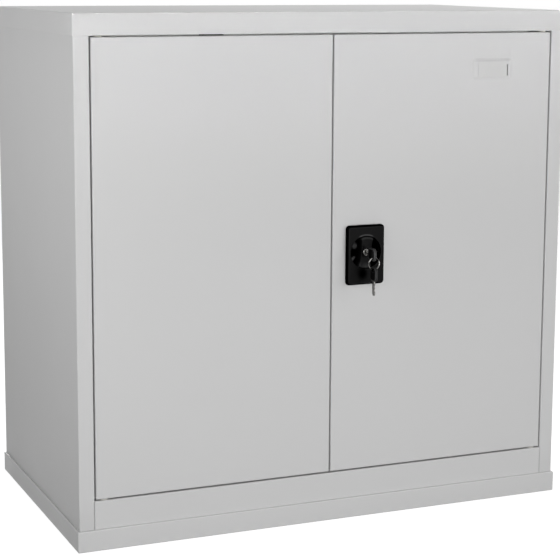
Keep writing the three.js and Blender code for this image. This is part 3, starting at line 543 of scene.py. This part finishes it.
TONE, SKIN, STREAKS = tone_group(), skin_group(), streak_group()
FINISHES = {
    "powder_coat": skin_material(
        "light_grey_powder_coat", (0.655, 0.655, 0.655), roughness=(0.46, 0.1), grain=950.0,
        swell=(110.0, 0.6), depth=0.012, patches=(0.02, 5.0), speckle=(0.012, 2200.0), lift=0.02,
        specular=0.3,
    ),
    # Its lift and coat turn the edge mask's painted highlights and painted shade into colour and gleam
    "black_plastic": skin_material(
        "black_moulded_plastic", (0.0041, 0.0041, 0.0042), roughness=(0.32, 0.14), grain=2600.0,
        swell=(300.0, 0.3), depth=0.006, patches=(0.25, 60.0), speckle=(0.2, 3000.0), lift=6.0,
        specular=0.0, coat=0.062,
    ),
    "nylon": skin_material(
        "natural_nylon", (0.6, 0.59, 0.55), roughness=(0.55, 0.08), grain=1500.0, swell=(200.0, 0.4),
        depth=0.01, patches=(0.05, 80.0), speckle=(0.03, 2500.0),
    ),
    "rubber": skin_material(
        "grey_rubber", (0.11, 0.113, 0.116), roughness=(0.8, 0.1), grain=1800.0, swell=(260.0, 0.4),
        depth=0.02, patches=(0.15, 90.0), speckle=(0.08, 2500.0), specular=0.3,
    ),
    "card": skin_material(
        "blank_card", (0.66, 0.66, 0.655), roughness=(0.85, 0.05), grain=1600.0, swell=(420.0, 0.8),
        depth=0.015, patches=(0.03, 60.0), speckle=(0.05, 1400.0), specular=0.2,
    ),
    "zinc_plate": metal_material(
        "zinc_plate", (0.5, 0.515, 0.53), roughness=0.34, stretch=(900.0, 900.0, 60.0), strength=0.22,
        depth=0.006, patches=(0.12, 45.0), lift=0.05,
    ),
    # Colour far darker than nickel's own, as a painted reflection of dark surroundings; its lift brightens
    # painted glints
    "nickel_plate": metal_material(
        "nickel_plate", (0.12, 0.118, 0.114), roughness=0.16, stretch=(1500.0, 250.0, 1500.0),
        strength=0.12, depth=0.003, patches=(0.5, 160.0), lift=1.8,
    ),
}


# -------- carcass sheets


def make_lying_pan(name, nodes, path, wall, bevel, sag=0.0, wave=0.0):
    """A pan open below in the place of the first node. Its path has (inset, share of the node's height)
    pairs. Its face sinks by the sag plus a sheet's unevenness, or is left open where it has no wave."""
    low, high = extent(nodes[0])
    half_u, half_v = (high - low)[:2] / 2

    def relief(u, v):
        """Depth of the face below its edge."""
        return sag + sheet_wave(u, v, half_u, half_v, wave)

    scaled = np.array(path, float) * (1, high[2] - low[2])
    points, faces, bends = pan(half_u, half_v, scaled, relief if wave else None)
    points += (*(low + high)[:2] / 2, high[2])
    piece(name, points, faces, "carcass", "powder_coat", nodes, wall, UP, bevel, bends)


def make_side_panel(side, name):
    """A side sheet seen from above: jamb, stile, wall and rear flange in one line, drawn up along Z. The
    coat carries painted shade, and is rougher, in the seam beside the bottom panel."""
    low, high = extent("left_side_panel")
    wall, rear = low[0], high[1]
    path, weights = bent_path(
        [(-OPENING, JAMB_DEPTH), (-OPENING, 0), (wall, 0), (wall, rear), (wall + REAR_FLANGE, rear)]
    )
    seam_top = extent("bottom_panel")[1][2]
    levels = even_lines(low[2], high[2], WALL_STEP, (seam_top - 0.5, seam_top))
    bends = np.repeat(weights[:, None], len(levels), 1)
    # Painted shade on the bend of jamb and stile below the top of the bottom panel, where the seam is
    bends[(path[:, :1] > -OPENING - MARGIN) & (levels < seam_top)] *= SEAM_SHADE
    points, faces = drawn_up(path, levels, side)
    piece(f"{name}_side_shell", points, faces, "carcass", "powder_coat", (f"{name}_side_panel",), SHEET,
          (side, 0, 0), 0.2, bends.ravel())


def make_seam_angle(side, name):
    """An angle behind the seam of jamb and bottom panel: one leg along the jamb's inner face and one behind
    the panel's front, drawn up along Z."""
    low, high = extent("bottom_panel")
    leg_x = ANGLE_FIT - OPENING
    path, weights = bent_path(
        [(leg_x, ANGLE_DEPTH), (leg_x, ANGLE_FRONT), (ANGLE_WIDTH - OPENING, ANGLE_FRONT)], ANGLE_BEND
    )
    levels = even_lines(low[2] + ANGLE_FOOT, high[2] - ANGLE_TOP, 20.0)
    points, faces = drawn_up(path, levels, side)
    piece(f"{name}_seam_angle", points, faces, "carcass", "powder_coat", (), SHEET, (side, -1, 0), 0.15,
          np.repeat(weights, len(levels)))


# -------- doors


def card_recess(x, z):
    """The pressed recess: its depth is the product of four soft steps. Returns it with a mask that is a
    painted shadow in a band under the upper edge and painted light on the other slopes."""
    left, right, low, high = x - LABEL_LEFT, LABEL_RIGHT - x, z - LABEL_LOW, LABEL_HIGH - z
    depth = soft_step(left / SIDE_SLOPE) * soft_step(right / SIDE_SLOPE)
    depth *= soft_step(low / LOWER_SLOPE) * soft_step(high / UPPER_SLOPE)
    slope = np.minimum(np.minimum(left, right) / SIDE_SLOPE, low / LOWER_SLOPE)
    light = soft_step(1 - np.abs(slope - 0.5) / 0.5) * (high > 0)
    dark = soft_step((BAND_TALL - high) / BAND_FADE) * soft_step(high / BAND_FADE)
    dark *= soft_step(left / BAND_END) * soft_step(right / BAND_END)
    return LABEL_DEPTH * depth, SLOPE_LIGHT * light - BAND_SHADE * dark


def box_about(centre, reach):
    """Lowest and highest corner of the box that reaches so far to both sides of a centre."""
    return np.subtract(centre, reach), np.add(centre, reach)


def make_door(side, name):
    """A door: a pan open at the back with a lip round its mouth, holes for the bushes and, on the right,
    for the lock, the bolts and the two slits beside the card. The grid of its face follows the holes."""
    low, high = extent(f"{name}_door")
    middle, ends = (low + high) / 2, (low[2], high[2])
    half_u, half_v = (high - low)[[0, 2]] / 2
    holes = [box_about((side * HINGE_X, HINGE_Y, z), (BUSH_HOLE, BUSH_HOLE, THROUGH)) for z in ends]
    slopes_x, slopes_z = [], []
    if side > 0:
        bolt_hole = (BOLT_HOLE_WIDE, BOLT_HOLE_DEEP, THROUGH)
        holes += [box_about((LOCK_X, BOLT_Y, z), bolt_hole) for z in ends]
        holes.append(box_about(LOCK, (SKIN_CUT, THROUGH, SKIN_CUT)))
        holes += [((a, -THROUGH, SLIT_LOW), (b, THROUGH, SLIT_HIGH)) for a, b in SLITS]
        share = np.linspace(0, 1, SLOPE_LINES)
        slopes_x = [LABEL_LEFT + SIDE_SLOPE * share, LABEL_RIGHT - SIDE_SLOPE * share,
                    (LABEL_LEFT + BAND_END, LABEL_RIGHT - BAND_END)]
        slopes_z = [LABEL_LOW + LOWER_SLOPE * share, LABEL_HIGH - UPPER_SLOPE * share,
                    (LABEL_HIGH - BAND_TALL, LABEL_HIGH - BAND_TALL + BAND_FADE)]
    corners = np.reshape(holes, (-1, 3))

    def relief(u, v):
        """Depth of the face: a sheet's unevenness, which dies out near the recess, and the recess."""
        depth = sheet_wave(u, v, half_u, half_v, 0.12)
        if side < 0:
            return depth
        x, z = u + middle[0], v + middle[2]
        return depth * (1 - spot(x, z, (LABEL_X, LABEL_Z), CALM_SIZE, CALM_REACH)) + card_recess(x, z)[0]

    path = [
        (DOOR_LIP, DOOR_THICKNESS), (0, DOOR_THICKNESS), (0, BOLT_Y + BOLT_HOLE_DEEP),
        (0, HINGE_Y + BUSH_HOLE), (0, BOLT_Y - BOLT_HOLE_DEEP), (0, HINGE_Y - BUSH_HOLE), (0, 0),
        (MARGIN, 0),
    ]
    lines_u = np.concatenate([corners[:, 0], *slopes_x]) - middle[0]
    lines_v = np.concatenate([corners[:, 2], *slopes_z]) - middle[2]
    points, faces, bends = pan(half_u, half_v, path, relief, lines_u, lines_v)
    points = points[:, [0, 2, 1]] * (1, -1, 1) + (middle[0], 0, middle[2])
    if side > 0:
        # Painted shadow under the recess's upper edge and painted light on its other slopes, added to the
        # bends
        bends = bends + card_recess(points[:, 0], points[:, 2])[1]
    faces = without(points, faces, holes)
    piece(f"{name}_door_leaf", points, faces, f"{name}_leaf", "powder_coat", (f"{name}_door",), SHEET,
          FORWARD, 0.2, bends)


# -------- lock


def make_lock_plate():
    """The plate: the bore's circle and the rounded outline share their stations, so a closed profile of
    rings runs from the bore's wall over the front face and the bevel to the back. Its mask is a painted
    highlight on the bore's upper edge and a painted shadow of the hanging keys in a patch below the knob."""
    core, normal = round_outline(PLATE_WIDTH, PLATE_HEIGHT, PLATE_CORNER, 9, 9)
    core = core - (0, PLATE_DROP)
    outline = core + PLATE_CORNER * normal
    spoke = outline / np.linalg.norm(outline, axis=1)[:, None]

    def bore(grow, y):
        """The bore's circle made larger."""
        return spoke * (BORE + grow), y

    def rim(inset, y):
        """The plate's outline made smaller."""
        return core + (PLATE_CORNER - inset) * normal, y

    front, rear = PLATE_FRONT, PLATE_REAR
    inner, outer = bore(3.2, front)[0], rim(4.2, front)[0]
    rings = [
        bore(0, BOSS_REAR), bore(0, front + 1.1), bore(0.15, front + 0.5), bore(0.5, front + 0.13),
        bore(1, front), bore(2.2, front),
        *[((1 - share) * inner + share * outer, front) for share in (0, 0.2, 0.4, 0.6, 0.8, 1)],
        rim(3.3, front), rim(2.8, front + 0.18), rim(0.5, front + 2.6), rim(0.1, front + 3.2),
        rim(0, front + 3.8), rim(0, rear - 0.3), rim(0.25, rear), bore(BOSS_WALL, rear),
        bore(BOSS_WALL, BOSS_REAR),
    ]
    # Painted light per ring: shade below 0 on the bore's wall, bevel and back, highlights above 0 and in
    # the gleam
    shade = [-0.14, -0.14, 0, 0.08, 0.04, *[0] * 7, 0.3, -0.13, *[-0.15] * 4, *[-0.1] * 3]
    gleam = [0, 0, 0.6, 1.1, 1.1, 0.6, *[0] * 15]
    on_face = np.repeat(np.arange(len(rings)) < 12, len(core))
    from_top = np.degrees(np.abs(np.arctan2(spoke[:, 0], spoke[:, 1])))
    points, faces = ringed(rings, 1)
    # Painted shadow of the hanging keys on the face below the knob
    painted_key_shadow = 0.17 * on_face * spot(points[:, 0], points[:, 2], (-5.5, -37), (9, 12), 1.4)
    mask = np.repeat(shade, len(core)) + np.outer(gleam, soft_step((29 - from_top) / 7)).ravel() - painted_key_shadow
    piece("lock_plate_moulding", points + LOCK, faces, "right_leaf", "black_plastic", ("lock_plate",),
          edge=mask, crease=28)


def grip_height(x, z):
    """Front of the knob as a height over its own face: full height inside the hourglass |x| < w(z), with w
    growing from waist to end by the square of z, falling softly over the flank to a dished floor. The grip
    leans a little to the right. Returns the height, and a mask that is above 0 in painted highlights on the
    ends of the grip and in two painted gleams beside it, and below 0 as painted shade in the rest of the
    dish."""
    cos, sin = math.cos(GRIP_LEAN), math.sin(GRIP_LEAN)
    x, z = x * cos - z * sin, x * sin + z * cos
    width = GRIP_WAIST + (GRIP_END - GRIP_WAIST) * (z / KNOB_RADIUS) ** 2
    flank = soft_step((np.abs(x) - width + FLANK_START) / FLANK_WIDTH)
    radius = np.hypot(x, z)
    top = GRIP_FRONT + GRIP_CROWN * (x / GRIP_END) ** 2
    top = top + RIM_DROP * soft_step((radius - KNOB_RADIUS + RIM_WIDTH) / RIM_WIDTH) ** 2
    outwards = np.clip((radius - DISH_START) / (KNOB_RADIUS - DISH_START), 0, 1)
    floor = DISH_FLOOR + DISH_SINK * np.sin(outwards * math.pi)
    painted_light = 0.3 * soft_step(1 - np.abs(radius - KNOB_RADIUS + 2.6) / 2.6) * (z > 0)
    painted_light = (1 - flank) * (painted_light + 0.35 * soft_step(1 - np.abs(z + 24) / 9))
    gleam = spot(x, z, (-18, 9), (4.5, 5.5), 1.3) + spot(x + z, x - z, (-34, -5.5), (9, 4), 1.3)
    return top + (floor - top) * flank, painted_light + flank * (1.75 * gleam - 0.17)


def make_knob():
    """The knob: a polar grid whose front follows grip_height, closed by the bore inside and by the turned
    disc, spindle and drive behind."""
    angle = once_round(144)
    radii = np.concatenate(
        [[KNOB_BORE, 6.55, 6.9], np.linspace(7.6, 26.2, 30), [26.8, 27.2, KNOB_RADIUS]]
    )[:, None]
    x, z = radii * np.cos(angle), radii * np.sin(angle)
    y, painted_light = grip_height(x, z)
    # The edge of the key's bore is rounded
    y[0] += 0.35
    y[1] += 0.1
    front = np.stack([x, y, z], -1)
    bore = turned([(0, 9.3), (KNOB_BORE, 9.3), (KNOB_BORE, 8.8), (KNOB_BORE, 2.6)], angle)
    back = turned(
        [(KNOB_RADIUS, 4.4), (27.3, 4.85), (26.8, 5.0), (9.8, 5.0), (9.2, 5.4), (9.2, 9.6), (8.8, 10.0),
         (5.4, 10.0), (5.0, 10.4), (5.0, 22.9), (4.6, 23.3), (2.3, 23.3), (0, 23.3)],
        angle,
    )
    points, faces = tube(np.concatenate([bore, front, back]))
    # Painted shade in the key's bore and over the back, with the grip's painted light in between
    mask = np.concatenate([np.full(bore.shape[:2], -0.16), painted_light, np.full(back.shape[:2], -0.1)])
    piece("knob_moulding", points + LOCK, faces, "knob", "black_plastic", ("lock_knob",),
          edge=mask.ravel(), crease=42)


def glints(angle, spots):
    """Painted glints round a ring: for each (middle, half width, strength) in degrees a soft bump of that
    strength, with the angle counted from X."""
    angle = np.degrees(angle)
    return sum(strength * soft_step(1.5 - np.abs((angle - middle + 180) % 360 - 180) / half)
               for middle, half, strength in spots)


def make_cylinder():
    """The key cylinder: stations shared by the keyway's rectangle and the round barrel, joined by rings."""
    core, normal = round_outline(KEYWAY_WIDTH, KEYWAY_HEIGHT, KEYWAY_CORNER, 5, 5)
    outline = core + KEYWAY_CORNER * normal
    spoke = outline / np.linalg.norm(outline, axis=1)[:, None]
    front, rear = CYLINDER_FRONT, CYLINDER_REAR
    keyway = [(0, rear), (0, front + 0.5), (0.25, front + 0.05), (0.35, front)]
    barrel = [(5.3, front), (5.6, front + 0.1), (5.9, front + 0.4), (CYLINDER_RADIUS, front + 0.8),
              (CYLINDER_RADIUS, rear - 0.3), (5.7, rear)]
    rings = [(outline + grow * normal, y) for grow, y in keyway] + [(spoke * r, y) for r, y in barrel]
    points, faces = ringed(rings, 1)
    # Painted glints on the front face, upper left and lower right, and painted shade over the whole plug
    painted_light = glints(np.arctan2(spoke[:, 1], spoke[:, 0]), ((145, 38, 1.0), (-50, 30, 0.6)))
    mask = np.outer([0, 0, 0.3, 0.6, 1, 1, 1, 0.4, 0, 0], painted_light).ravel() - 0.15
    piece("cylinder_plug", points + LOCK, faces, "key", "nickel_plate", ("key_cylinder",), edge=mask,
          crease=40)


def closed_tube(sections):
    """Points and faces of a tube whose two end faces are rows of quads across the section."""
    points, faces = tube(sections)
    stations = sections.shape[1]
    k = np.arange(stations // 2 - 1)
    first = np.stack([k, k + 1, stations - 2 - k, stations - 1 - k], -1)
    return points, np.concatenate([faces, first, first + len(points) - stations])


def key_blade():
    """A key's blade along +Y from the bow's shoulder: closed sections carried along it. Their upper edge is
    straight, the lower edge is notched by cuts 2.6 apart, and a groove is milled along both flats. Over the
    last 4 its height of 8 tapers to 4."""
    along = np.concatenate(
        [[-BLADE_ROOT] * 2, np.linspace(0.2 - BLADE_ROOT, BLADE_LENGTH - 0.05, 90), [BLADE_LENGTH] * 2]
    )[:, None]
    cuts = np.array([0.0, 0.9, 1.7, 0.6, 2.0, 1.2, 0.3])
    place = np.clip((along - 4.0) / 2.6, 0, len(cuts) - 1.001)
    index = place.astype(int)
    share = soft_step((place - index - 0.25) / 0.5)
    depth = (cuts[index] * (1 - share) + cuts[index + 1] * share) * soft_step((along - 3.0) / 1.5)
    tip = np.clip((BLADE_LENGTH - along) / 4.0, 0, 1)
    top = 2.0 + 2.0 * tip
    bottom = np.maximum(-2.0 - 2.0 * tip, depth - 4.0)
    height = np.array([0.0, 0.02, 0.06, 0.34, 0.38, 0.42, 0.58, 0.62, 0.66, 0.94, 0.98, 1.0])
    half = np.array([0.75, 1, 1, 1, 0.6, 0.55, 0.55, 0.6, 1, 1, 1, 0.75])
    size = np.ones_like(along)
    size[[0, -1]] = 0.02
    x = size * np.concatenate([half, -half[::-1]])
    middle = (top + bottom) / 2
    z = middle + (bottom + (top - bottom) * np.concatenate([height, height[::-1]]) - middle) * size
    return closed_tube(np.stack([x, np.repeat(along, x.shape[1], 1), z], -1))


def key_bow(painted_light):
    """A key's moulded bow along -Y from its shoulder: rings from the ring slot's rounded edge over the face
    to the rounded outline, and back on the other side. Its mask, painted highlights on the rounded edges
    and painted shade on the slot's wall, grows with the given strength."""
    core, normal = round_outline(BOW_LENGTH, BOW_WIDTH, BOW_CORNER, 9, 5)
    slot_core, slot_normal = round_outline(SLOT_WIDTH, SLOT_LENGTH, SLOT_CORNER, 9, 5)
    slot_core = slot_core - (BOW_LENGTH - SLOT_INSET, 0)
    core = core - (BOW_LENGTH / 2, 0)
    half = BOW_THICKNESS / 2
    slot = [(0, 0.9), (0.25, 0.25), (0.9, 0), (1.5, 0.05)]
    outline = [(3.2, 0.05), (2.2, 0), (1.3, 0.12), (0.45, 0.65), (0, 1.6)]
    side = [(slot_core + (SLOT_CORNER + grow) * slot_normal, half - drop) for grow, drop in slot]
    side += [(core + (BOW_CORNER - inset) * normal, half - drop) for inset, drop in outline]
    points, faces = ringed(side + [(flat, -x) for flat, x in side[::-1]], 0)
    # Painted shade on the slot's wall and painted highlights on the rounded edges, times the strength
    shade = np.array([-0.1, 0.1, 0.3, 0, 0, 0.3, 0.6, 0.6, 0.3]) * painted_light
    return points, faces, np.repeat(np.concatenate([shade, shade[::-1]]), len(core))


def split_ring():
    """A split ring in the XZ plane: two turns of flat wire side by side. Its centreline is
    (radius cos t, offset(t), radius sin t) for t over two turns, and its section is an ellipse."""
    t = np.linspace(0, 4 * math.pi, 193)[:, None] + RING_START
    offset = 0.43 * (2 * soft_step(t - RING_START - 2 * math.pi + 0.5) - 1)
    section = once_round(WIRE_SIDES)
    wide = np.ones_like(t)
    wide[[0, -1]] = 0.05
    reach = RING_RADIUS + 0.74 * wide * np.cos(section)
    rings = np.stack([reach * np.cos(t), offset + 0.41 * wide * np.sin(section), reach * np.sin(t)], -1)
    # Painted glints at four places round the ring, and painted dark reflection elsewhere
    painted_light = glints(t, ((135, 24, 1.0), (205, 16, 0.3), (0, 20, 0.9), (-42, 22, 0.35))) - 0.42
    return *closed_tube(rings), np.repeat(painted_light, WIRE_SIDES)


def make_key(name, body, turn, shoulder, painted_light):
    """A key turned by a matrix, with its shoulder at a place and painted highlights of a given strength on
    its bow.
    """
    points, faces = key_blade()
    piece(f"{name}_blade_cut", points @ turn + shoulder, faces, body, "nickel_plate", (f"{body}_blade",),
          crease=35)
    points, faces, mask = key_bow(painted_light)
    piece(f"{name}_bow_moulding", points @ turn + shoulder, faces, body, "black_plastic", (f"{body}_bow",),
          edge=mask, crease=50)


def make_keys():
    """The key in the lock, the ring through its bow and the spare key hanging from the ring. The ring lies
    against the end of one bow's slot and the wall of the other's."""
    shoulder_y, slot_reach = CYLINDER_FRONT - KEY_STAND, BOW_LENGTH - SLOT_INSET
    ring_y = shoulder_y - slot_reach
    ring_z = LOCK_Z - SLOT_LENGTH / 2 + RING_FIT - RING_RADIUS
    spare_z = ring_z - RING_RADIUS + RING_FIT - SLOT_WIDTH / 2 - slot_reach
    hang = np.array([[1, 0, 0], [0, 0, -1], [0, 1, 0]], float)
    make_key("key", "key", np.eye(3), (LOCK_X, shoulder_y, LOCK_Z), 3.0)
    points, faces, painted_light = split_ring()
    piece("split_ring", points + (LOCK_X, ring_y, ring_z), faces, "ring", "nickel_plate", ("key_ring",),
          edge=painted_light, crease=60)
    make_key("spare", "spare_key", hang, (LOCK_X, ring_y, spare_z), 1.6)


# -------- small turned parts


def make_hinges():
    """Pins and bushes: turned profiles about Z, the upper ones upside down."""
    pin_end = 9.5
    pin = [(0, -3.1), (5.6, -3.1), (6.0, -2.8), (6.0, -1.3), (5.7, -1.1), (3.0, -1.1), (3.0, 8.7),
           (2.6, 9.3), (1.8, pin_end), (0, pin_end)]
    bush = [(3.3, 0.3), (7.1, 0.3), (7.5, 0.6), (7.5, 1.9), (7.2, 2.2), (5.2, 2.2), (5.0, 2.4), (5.0, 9.9),
            (4.7, 10.2), (3.5, 10.2), (3.3, 10.0), (3.3, 0.3)]
    floor = extent("lower_left_hinge_pin")[1][2] - pin_end
    skirt = extent("upper_left_hinge_pin")[0][2] + pin_end
    for name, side in (("left", -1), ("right", 1)):
        for level, z, way in (("lower", floor, 1), ("upper", skirt, -1)):
            for label, profile, body, finish in (
                ("pin", pin, "carcass", "zinc_plate"), ("bush", bush, f"{name}_leaf", "nylon"),
            ):
                points, faces = lathe(np.array(profile) * (1, way), (side * HINGE_X, HINGE_Y, z), "z", 32)
                piece(f"{level}_{name}_{label}_turned", points, faces, body, finish,
                      (f"{level}_{name}_hinge_{label}",), crease=38)


def make_buffers():
    """Rubber buffers: a low dome about Y against the stop flange."""
    profile = [(0, 0.0), (2.6, 0.05), (4.2, 0.35), (4.8, 0.8), (5.0, 1.4), (5.0, 2.0), (0, 2.0)]
    for name in ("inner_left", "outer_left", "inner_right", "outer_right"):
        low, high = extent(f"{name}_door_buffer")
        centre = ((low[0] + high[0]) / 2, low[1], (low[2] + high[2]) / 2)
        points, faces = lathe(profile, centre, "y", 28)
        piece(f"{name}_buffer_dome", points, faces, "carcass", "rubber", (f"{name}_door_buffer",),
              crease=50)


def screw(head_radius, head_height, shank_radius, shank_end):
    """A cross-recess screw about Y with its head towards +Y: a polar grid whose domed head face sinks near
    its middle inside the cross |x| < arm or |z| < arm."""
    angle = once_round(64)
    radii = head_radius * np.concatenate([np.linspace(0, 0.72, 16), np.linspace(0.8, 1, 5)])[:, None]
    x, z = radii * np.cos(angle), radii * np.sin(angle)
    dome = head_height * np.sqrt(np.clip(1 - 0.75 * (radii / head_radius) ** 2, 0, 1))
    arm = head_radius * 0.12
    cross = soft_step((arm * 1.6 - np.minimum(np.abs(x), np.abs(z))) / (arm * 0.6))
    cross *= soft_step((head_radius * 0.62 - radii) / (head_radius * 0.12))
    head = np.stack([x, dome - 0.55 * head_height * cross, z], -1)
    shank = [(head_radius, 0), (shank_radius, 0), (shank_radius, shank_end), (0, shank_end)]
    return tube(np.concatenate([head, turned(shank, angle)]))


def make_screws():
    """The two screws of the lock's housing and the one that holds the tongue."""
    for node, body, y, z, sizes in (
        ("upper_lock_screw", "right_leaf", 3.4, 38.5, (3.5, 2.0, 1.8, -8.4)),
        ("lower_lock_screw", "right_leaf", 3.4, -44.0, (3.5, 2.0, 1.8, -8.4)),
        ("tongue_screw", "knob", 23.6, 0.0, (6.0, 2.0, 2.0, -7.9)),
    ):
        points, faces = screw(*sizes)
        piece(f"{node}_head", points + LOCK + (0, y, z), faces, body, "zinc_plate", (node,), crease=40)


# -------- solids that keep their shape


def dress(node, finish, bevel):
    """A solid with its corners merged, its edges rounded and its finish on."""
    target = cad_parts[node]
    weld = target.modifiers.new("weld", "WELD")
    weld.merge_threshold = 0.01 * MM
    if bevel:
        add_bevel(target, bevel)
    target.data.materials.clear()
    target.data.materials.append(FINISHES[finish])


# The cap has plain skirts, the plinth is C-shaped, and the shelves have a lip under each edge
skirts = [(0, 1), (0, 0), (MARGIN, 0)]
c_shape = [(PLINTH_FOOT, 1), (0, 1), (0, 0), (PLINTH_TOP, 0)]
lips = [(SHELF_LIP, 1), (0, 1), (0, 0), (MARGIN, 0)]
make_lying_pan("cap_shell", ("top_cap", "top_cap_rear_skirt"), skirts, SHEET, 0.25, sag=0.2, wave=0.1)
make_side_panel(-1, "left")
make_side_panel(1, "right")
make_seam_angle(-1, "left")
make_seam_angle(1, "right")
make_lying_pan("plinth_ring", ("base_plinth",), c_shape, PLINTH_SHEET, 0.25)
for level in ("lower", "upper"):
    make_lying_pan(f"{level}_shelf_shell", (f"{level}_shelf",), lips, SHEET, 0.2, wave=0.2)
make_door(-1, "left")
make_door(1, "right")
make_lock_plate()
make_knob()
make_cylinder()
make_keys()
make_hinges()
make_buffers()
make_screws()

CORNERS = ("front_left", "front_right", "rear_left", "rear_right")
CLIPS = [f"{level}_shelf_clip_{corner}" for corner in CORNERS for level in ("lower", "upper")]
for finish, bevel, nodes in (
    ("powder_coat", 0.15, ("bottom_panel", "top_rail", "back_panel")),
    ("powder_coat", 0.15, ("left_door_stiffener", "right_door_stiffener")),
    ("zinc_plate", 0.15, [f"{corner}_upright" for corner in CORNERS]),
    ("zinc_plate", 0.25, CLIPS),
    ("zinc_plate", 0.2, ("scroll_disc", "latch_tongue", "upper_bolt", "lower_bolt")),
    ("black_plastic", 0.4, ("lock_housing", "left_door_magnet")),
    ("nylon", 0.5, ("upper_bolt_guide", "lower_bolt_guide")),
    ("card", 0.0, ("label_card",)),
):
    for node in nodes:
        dress(node, finish, bevel)


# -------- stage, lamps and camera


def seen_directly(tree):
    """1 where the camera, a reflection or a refraction looks, and 0 for light that is scattered."""
    rays = add_node(tree, "ShaderNodeLightPath")
    direct = math_node(tree, "MAXIMUM", rays["Is Camera Ray"], rays["Is Glossy Ray"])
    return math_node(tree, "MAXIMUM", direct, rays["Is Transmission Ray"])


def make_floor():
    """A white floor that keeps a faint shadow where the camera looks at it, and is plain grey otherwise."""
    level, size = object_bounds()[0].z, 12.0
    mesh = bpy.data.meshes.new("floor")
    corners = [(-size, -size, level), (size, -size, level), (size, size, level), (-size, size, level)]
    mesh.from_pydata(corners, [], [(0, 1, 2, 3)])
    floor = bpy.data.objects.new("floor", mesh)
    bpy.context.scene.collection.objects.link(floor)
    material = bpy.data.materials.new("pale_floor")
    material.use_nodes = True
    tree = material.node_tree
    tree.nodes.clear()
    white = add_node(tree, "ShaderNodeEmission", Strength=0.9)[0]
    lit = add_node(tree, "ShaderNodeBsdfDiffuse", Color=(0.4, 0.4, 0.4, 1))[0]
    plain = add_node(tree, "ShaderNodeBsdfDiffuse", Color=(0.22, 0.22, 0.22, 1))[0]
    both = add_node(tree, "ShaderNodeAddShader", white, lit)[0]
    shown = add_node(tree, "ShaderNodeMixShader", seen_directly(tree), plain, both)[0]
    add_node(tree, "ShaderNodeOutputMaterial", Surface=shown)
    mesh.materials.append(material)


def make_world(strength):
    """Plain light from all round, and white where the camera, a reflection or a refraction looks."""
    world = bpy.data.worlds.new("studio")
    bpy.context.scene.world = world
    world.use_nodes = True
    tree = world.node_tree
    tree.nodes.clear()
    ambient = add_node(tree, "ShaderNodeBackground", Color=(1, 1, 1, 1), Strength=strength)[0]
    white = add_node(tree, "ShaderNodeBackground", Color=(1, 1, 1, 1), Strength=1.0)[0]
    shown = add_node(tree, "ShaderNodeMixShader", seen_directly(tree), ambient, white)[0]
    add_node(tree, "ShaderNodeOutputWorld", Surface=shown)


def add_lamp(name, place, aim, size, power, spread=180.0):
    """A soft lamp of (width, height) at a place, turned towards its aim, whose beam fades out at half the
    spread. Places and sizes are in metres, the power in watts and the spread in degrees."""
    data = bpy.data.lights.new(name, "AREA")
    data.shape = "RECTANGLE"
    data.size, data.size_y = size
    data.energy = power
    data.spread = math.radians(spread)
    lamp = bpy.data.objects.new(name, data)
    bpy.context.scene.collection.objects.link(lamp)
    lamp.location = place
    lamp.rotation_euler = (Vector(aim) - Vector(place)).to_track_quat("-Z", "Y").to_euler()


def make_camera():
    """The photograph's view: yaw about Z, pitch above the horizon and a slight roll, in degrees."""
    yaw, pitch, roll = (math.radians(a) for a in (22.973, -8.835, 0.281))
    place = Vector((-1.17202, FACE_Y * MM - 2.53856, 0.94571))
    ahead = Vector((math.sin(yaw) * math.cos(pitch), math.cos(yaw) * math.cos(pitch), math.sin(pitch)))
    right = Vector((math.cos(yaw), -math.sin(yaw), 0.0))
    up = right.cross(ahead)
    right, up = right * math.cos(roll) + up * math.sin(roll), up * math.cos(roll) - right * math.sin(roll)
    data = bpy.data.cameras.new("camera")
    data.lens = 107.016
    data.sensor_width = 36.0
    data.shift_y = -0.0893
    camera = bpy.data.objects.new("camera", data)
    bpy.context.scene.collection.objects.link(camera)
    camera.matrix_world = Matrix.Translation(place) @ Matrix((right, up, -ahead)).transposed().to_4x4()
    bpy.context.scene.camera = camera


# Each lamp's place, aim, size and power, and the spread of a narrow beam
LAMPS = {
    "front_right": ((2.2, -2.2, 1.2), (0.3, 0.0, 0.4), (1.2, 1.2), 18.9),
    "front_low": ((0.6, -2.2, 0.3), (0.2, 0.0, 0.1), (1.0, 0.4), 9.0),
    "floor_left": ((-0.6, -2.0, 0.25), (-0.2, 0.0, 0.15), (1.0, 0.6), 12.0),
    "top_strip": ((0.1, -2.2, 0.95), (0.1, 0.0, 0.95), (2.2, 0.1), 0.69, 25.0),
    "cap_strip": ((0.1, -2.2, 1.10), (0.1, 0.0, 1.10), (2.2, 0.05), 0.15, 18.0),
    "left_middle": ((-1.5, -0.55, 0.68), (-0.45, 0.1, 0.68), (0.9, 0.3), 2.4),
    "left_upper": ((-1.2, -0.62, 0.80), (-0.45, 0.0, 0.80), (0.7, 0.12), 1.85),
    "left_rear": ((-1.1, 0.3, 0.78), (-0.45, 0.2, 0.80), (0.8, 0.14), 1.05),
    "above": ((0.8, 0.3, 3.0), (0.3, 0.0, 0.5), (1.4, 1.4), 22.5),
    "above_right": ((1.6, 0.4, 2.4), (0.3, 0.1, 0.88), (1.0, 1.0), 3.5),
    "right": ((2.9, 0.6, 0.42), (0.45, 0.1, 0.42), (1.0, 0.8), 4.6, 70.0),
    "behind": ((0.0, 2.9, 0.42), (0.0, 0.3, 0.42), (0.8, 0.8), 6.3, 70.0),
}
make_floor()
make_world(0.14)
for lamp_name, lamp_values in LAMPS.items():
    add_lamp(lamp_name, *lamp_values)
make_camera()
bpy.context.scene.view_settings.view_transform = "Standard"
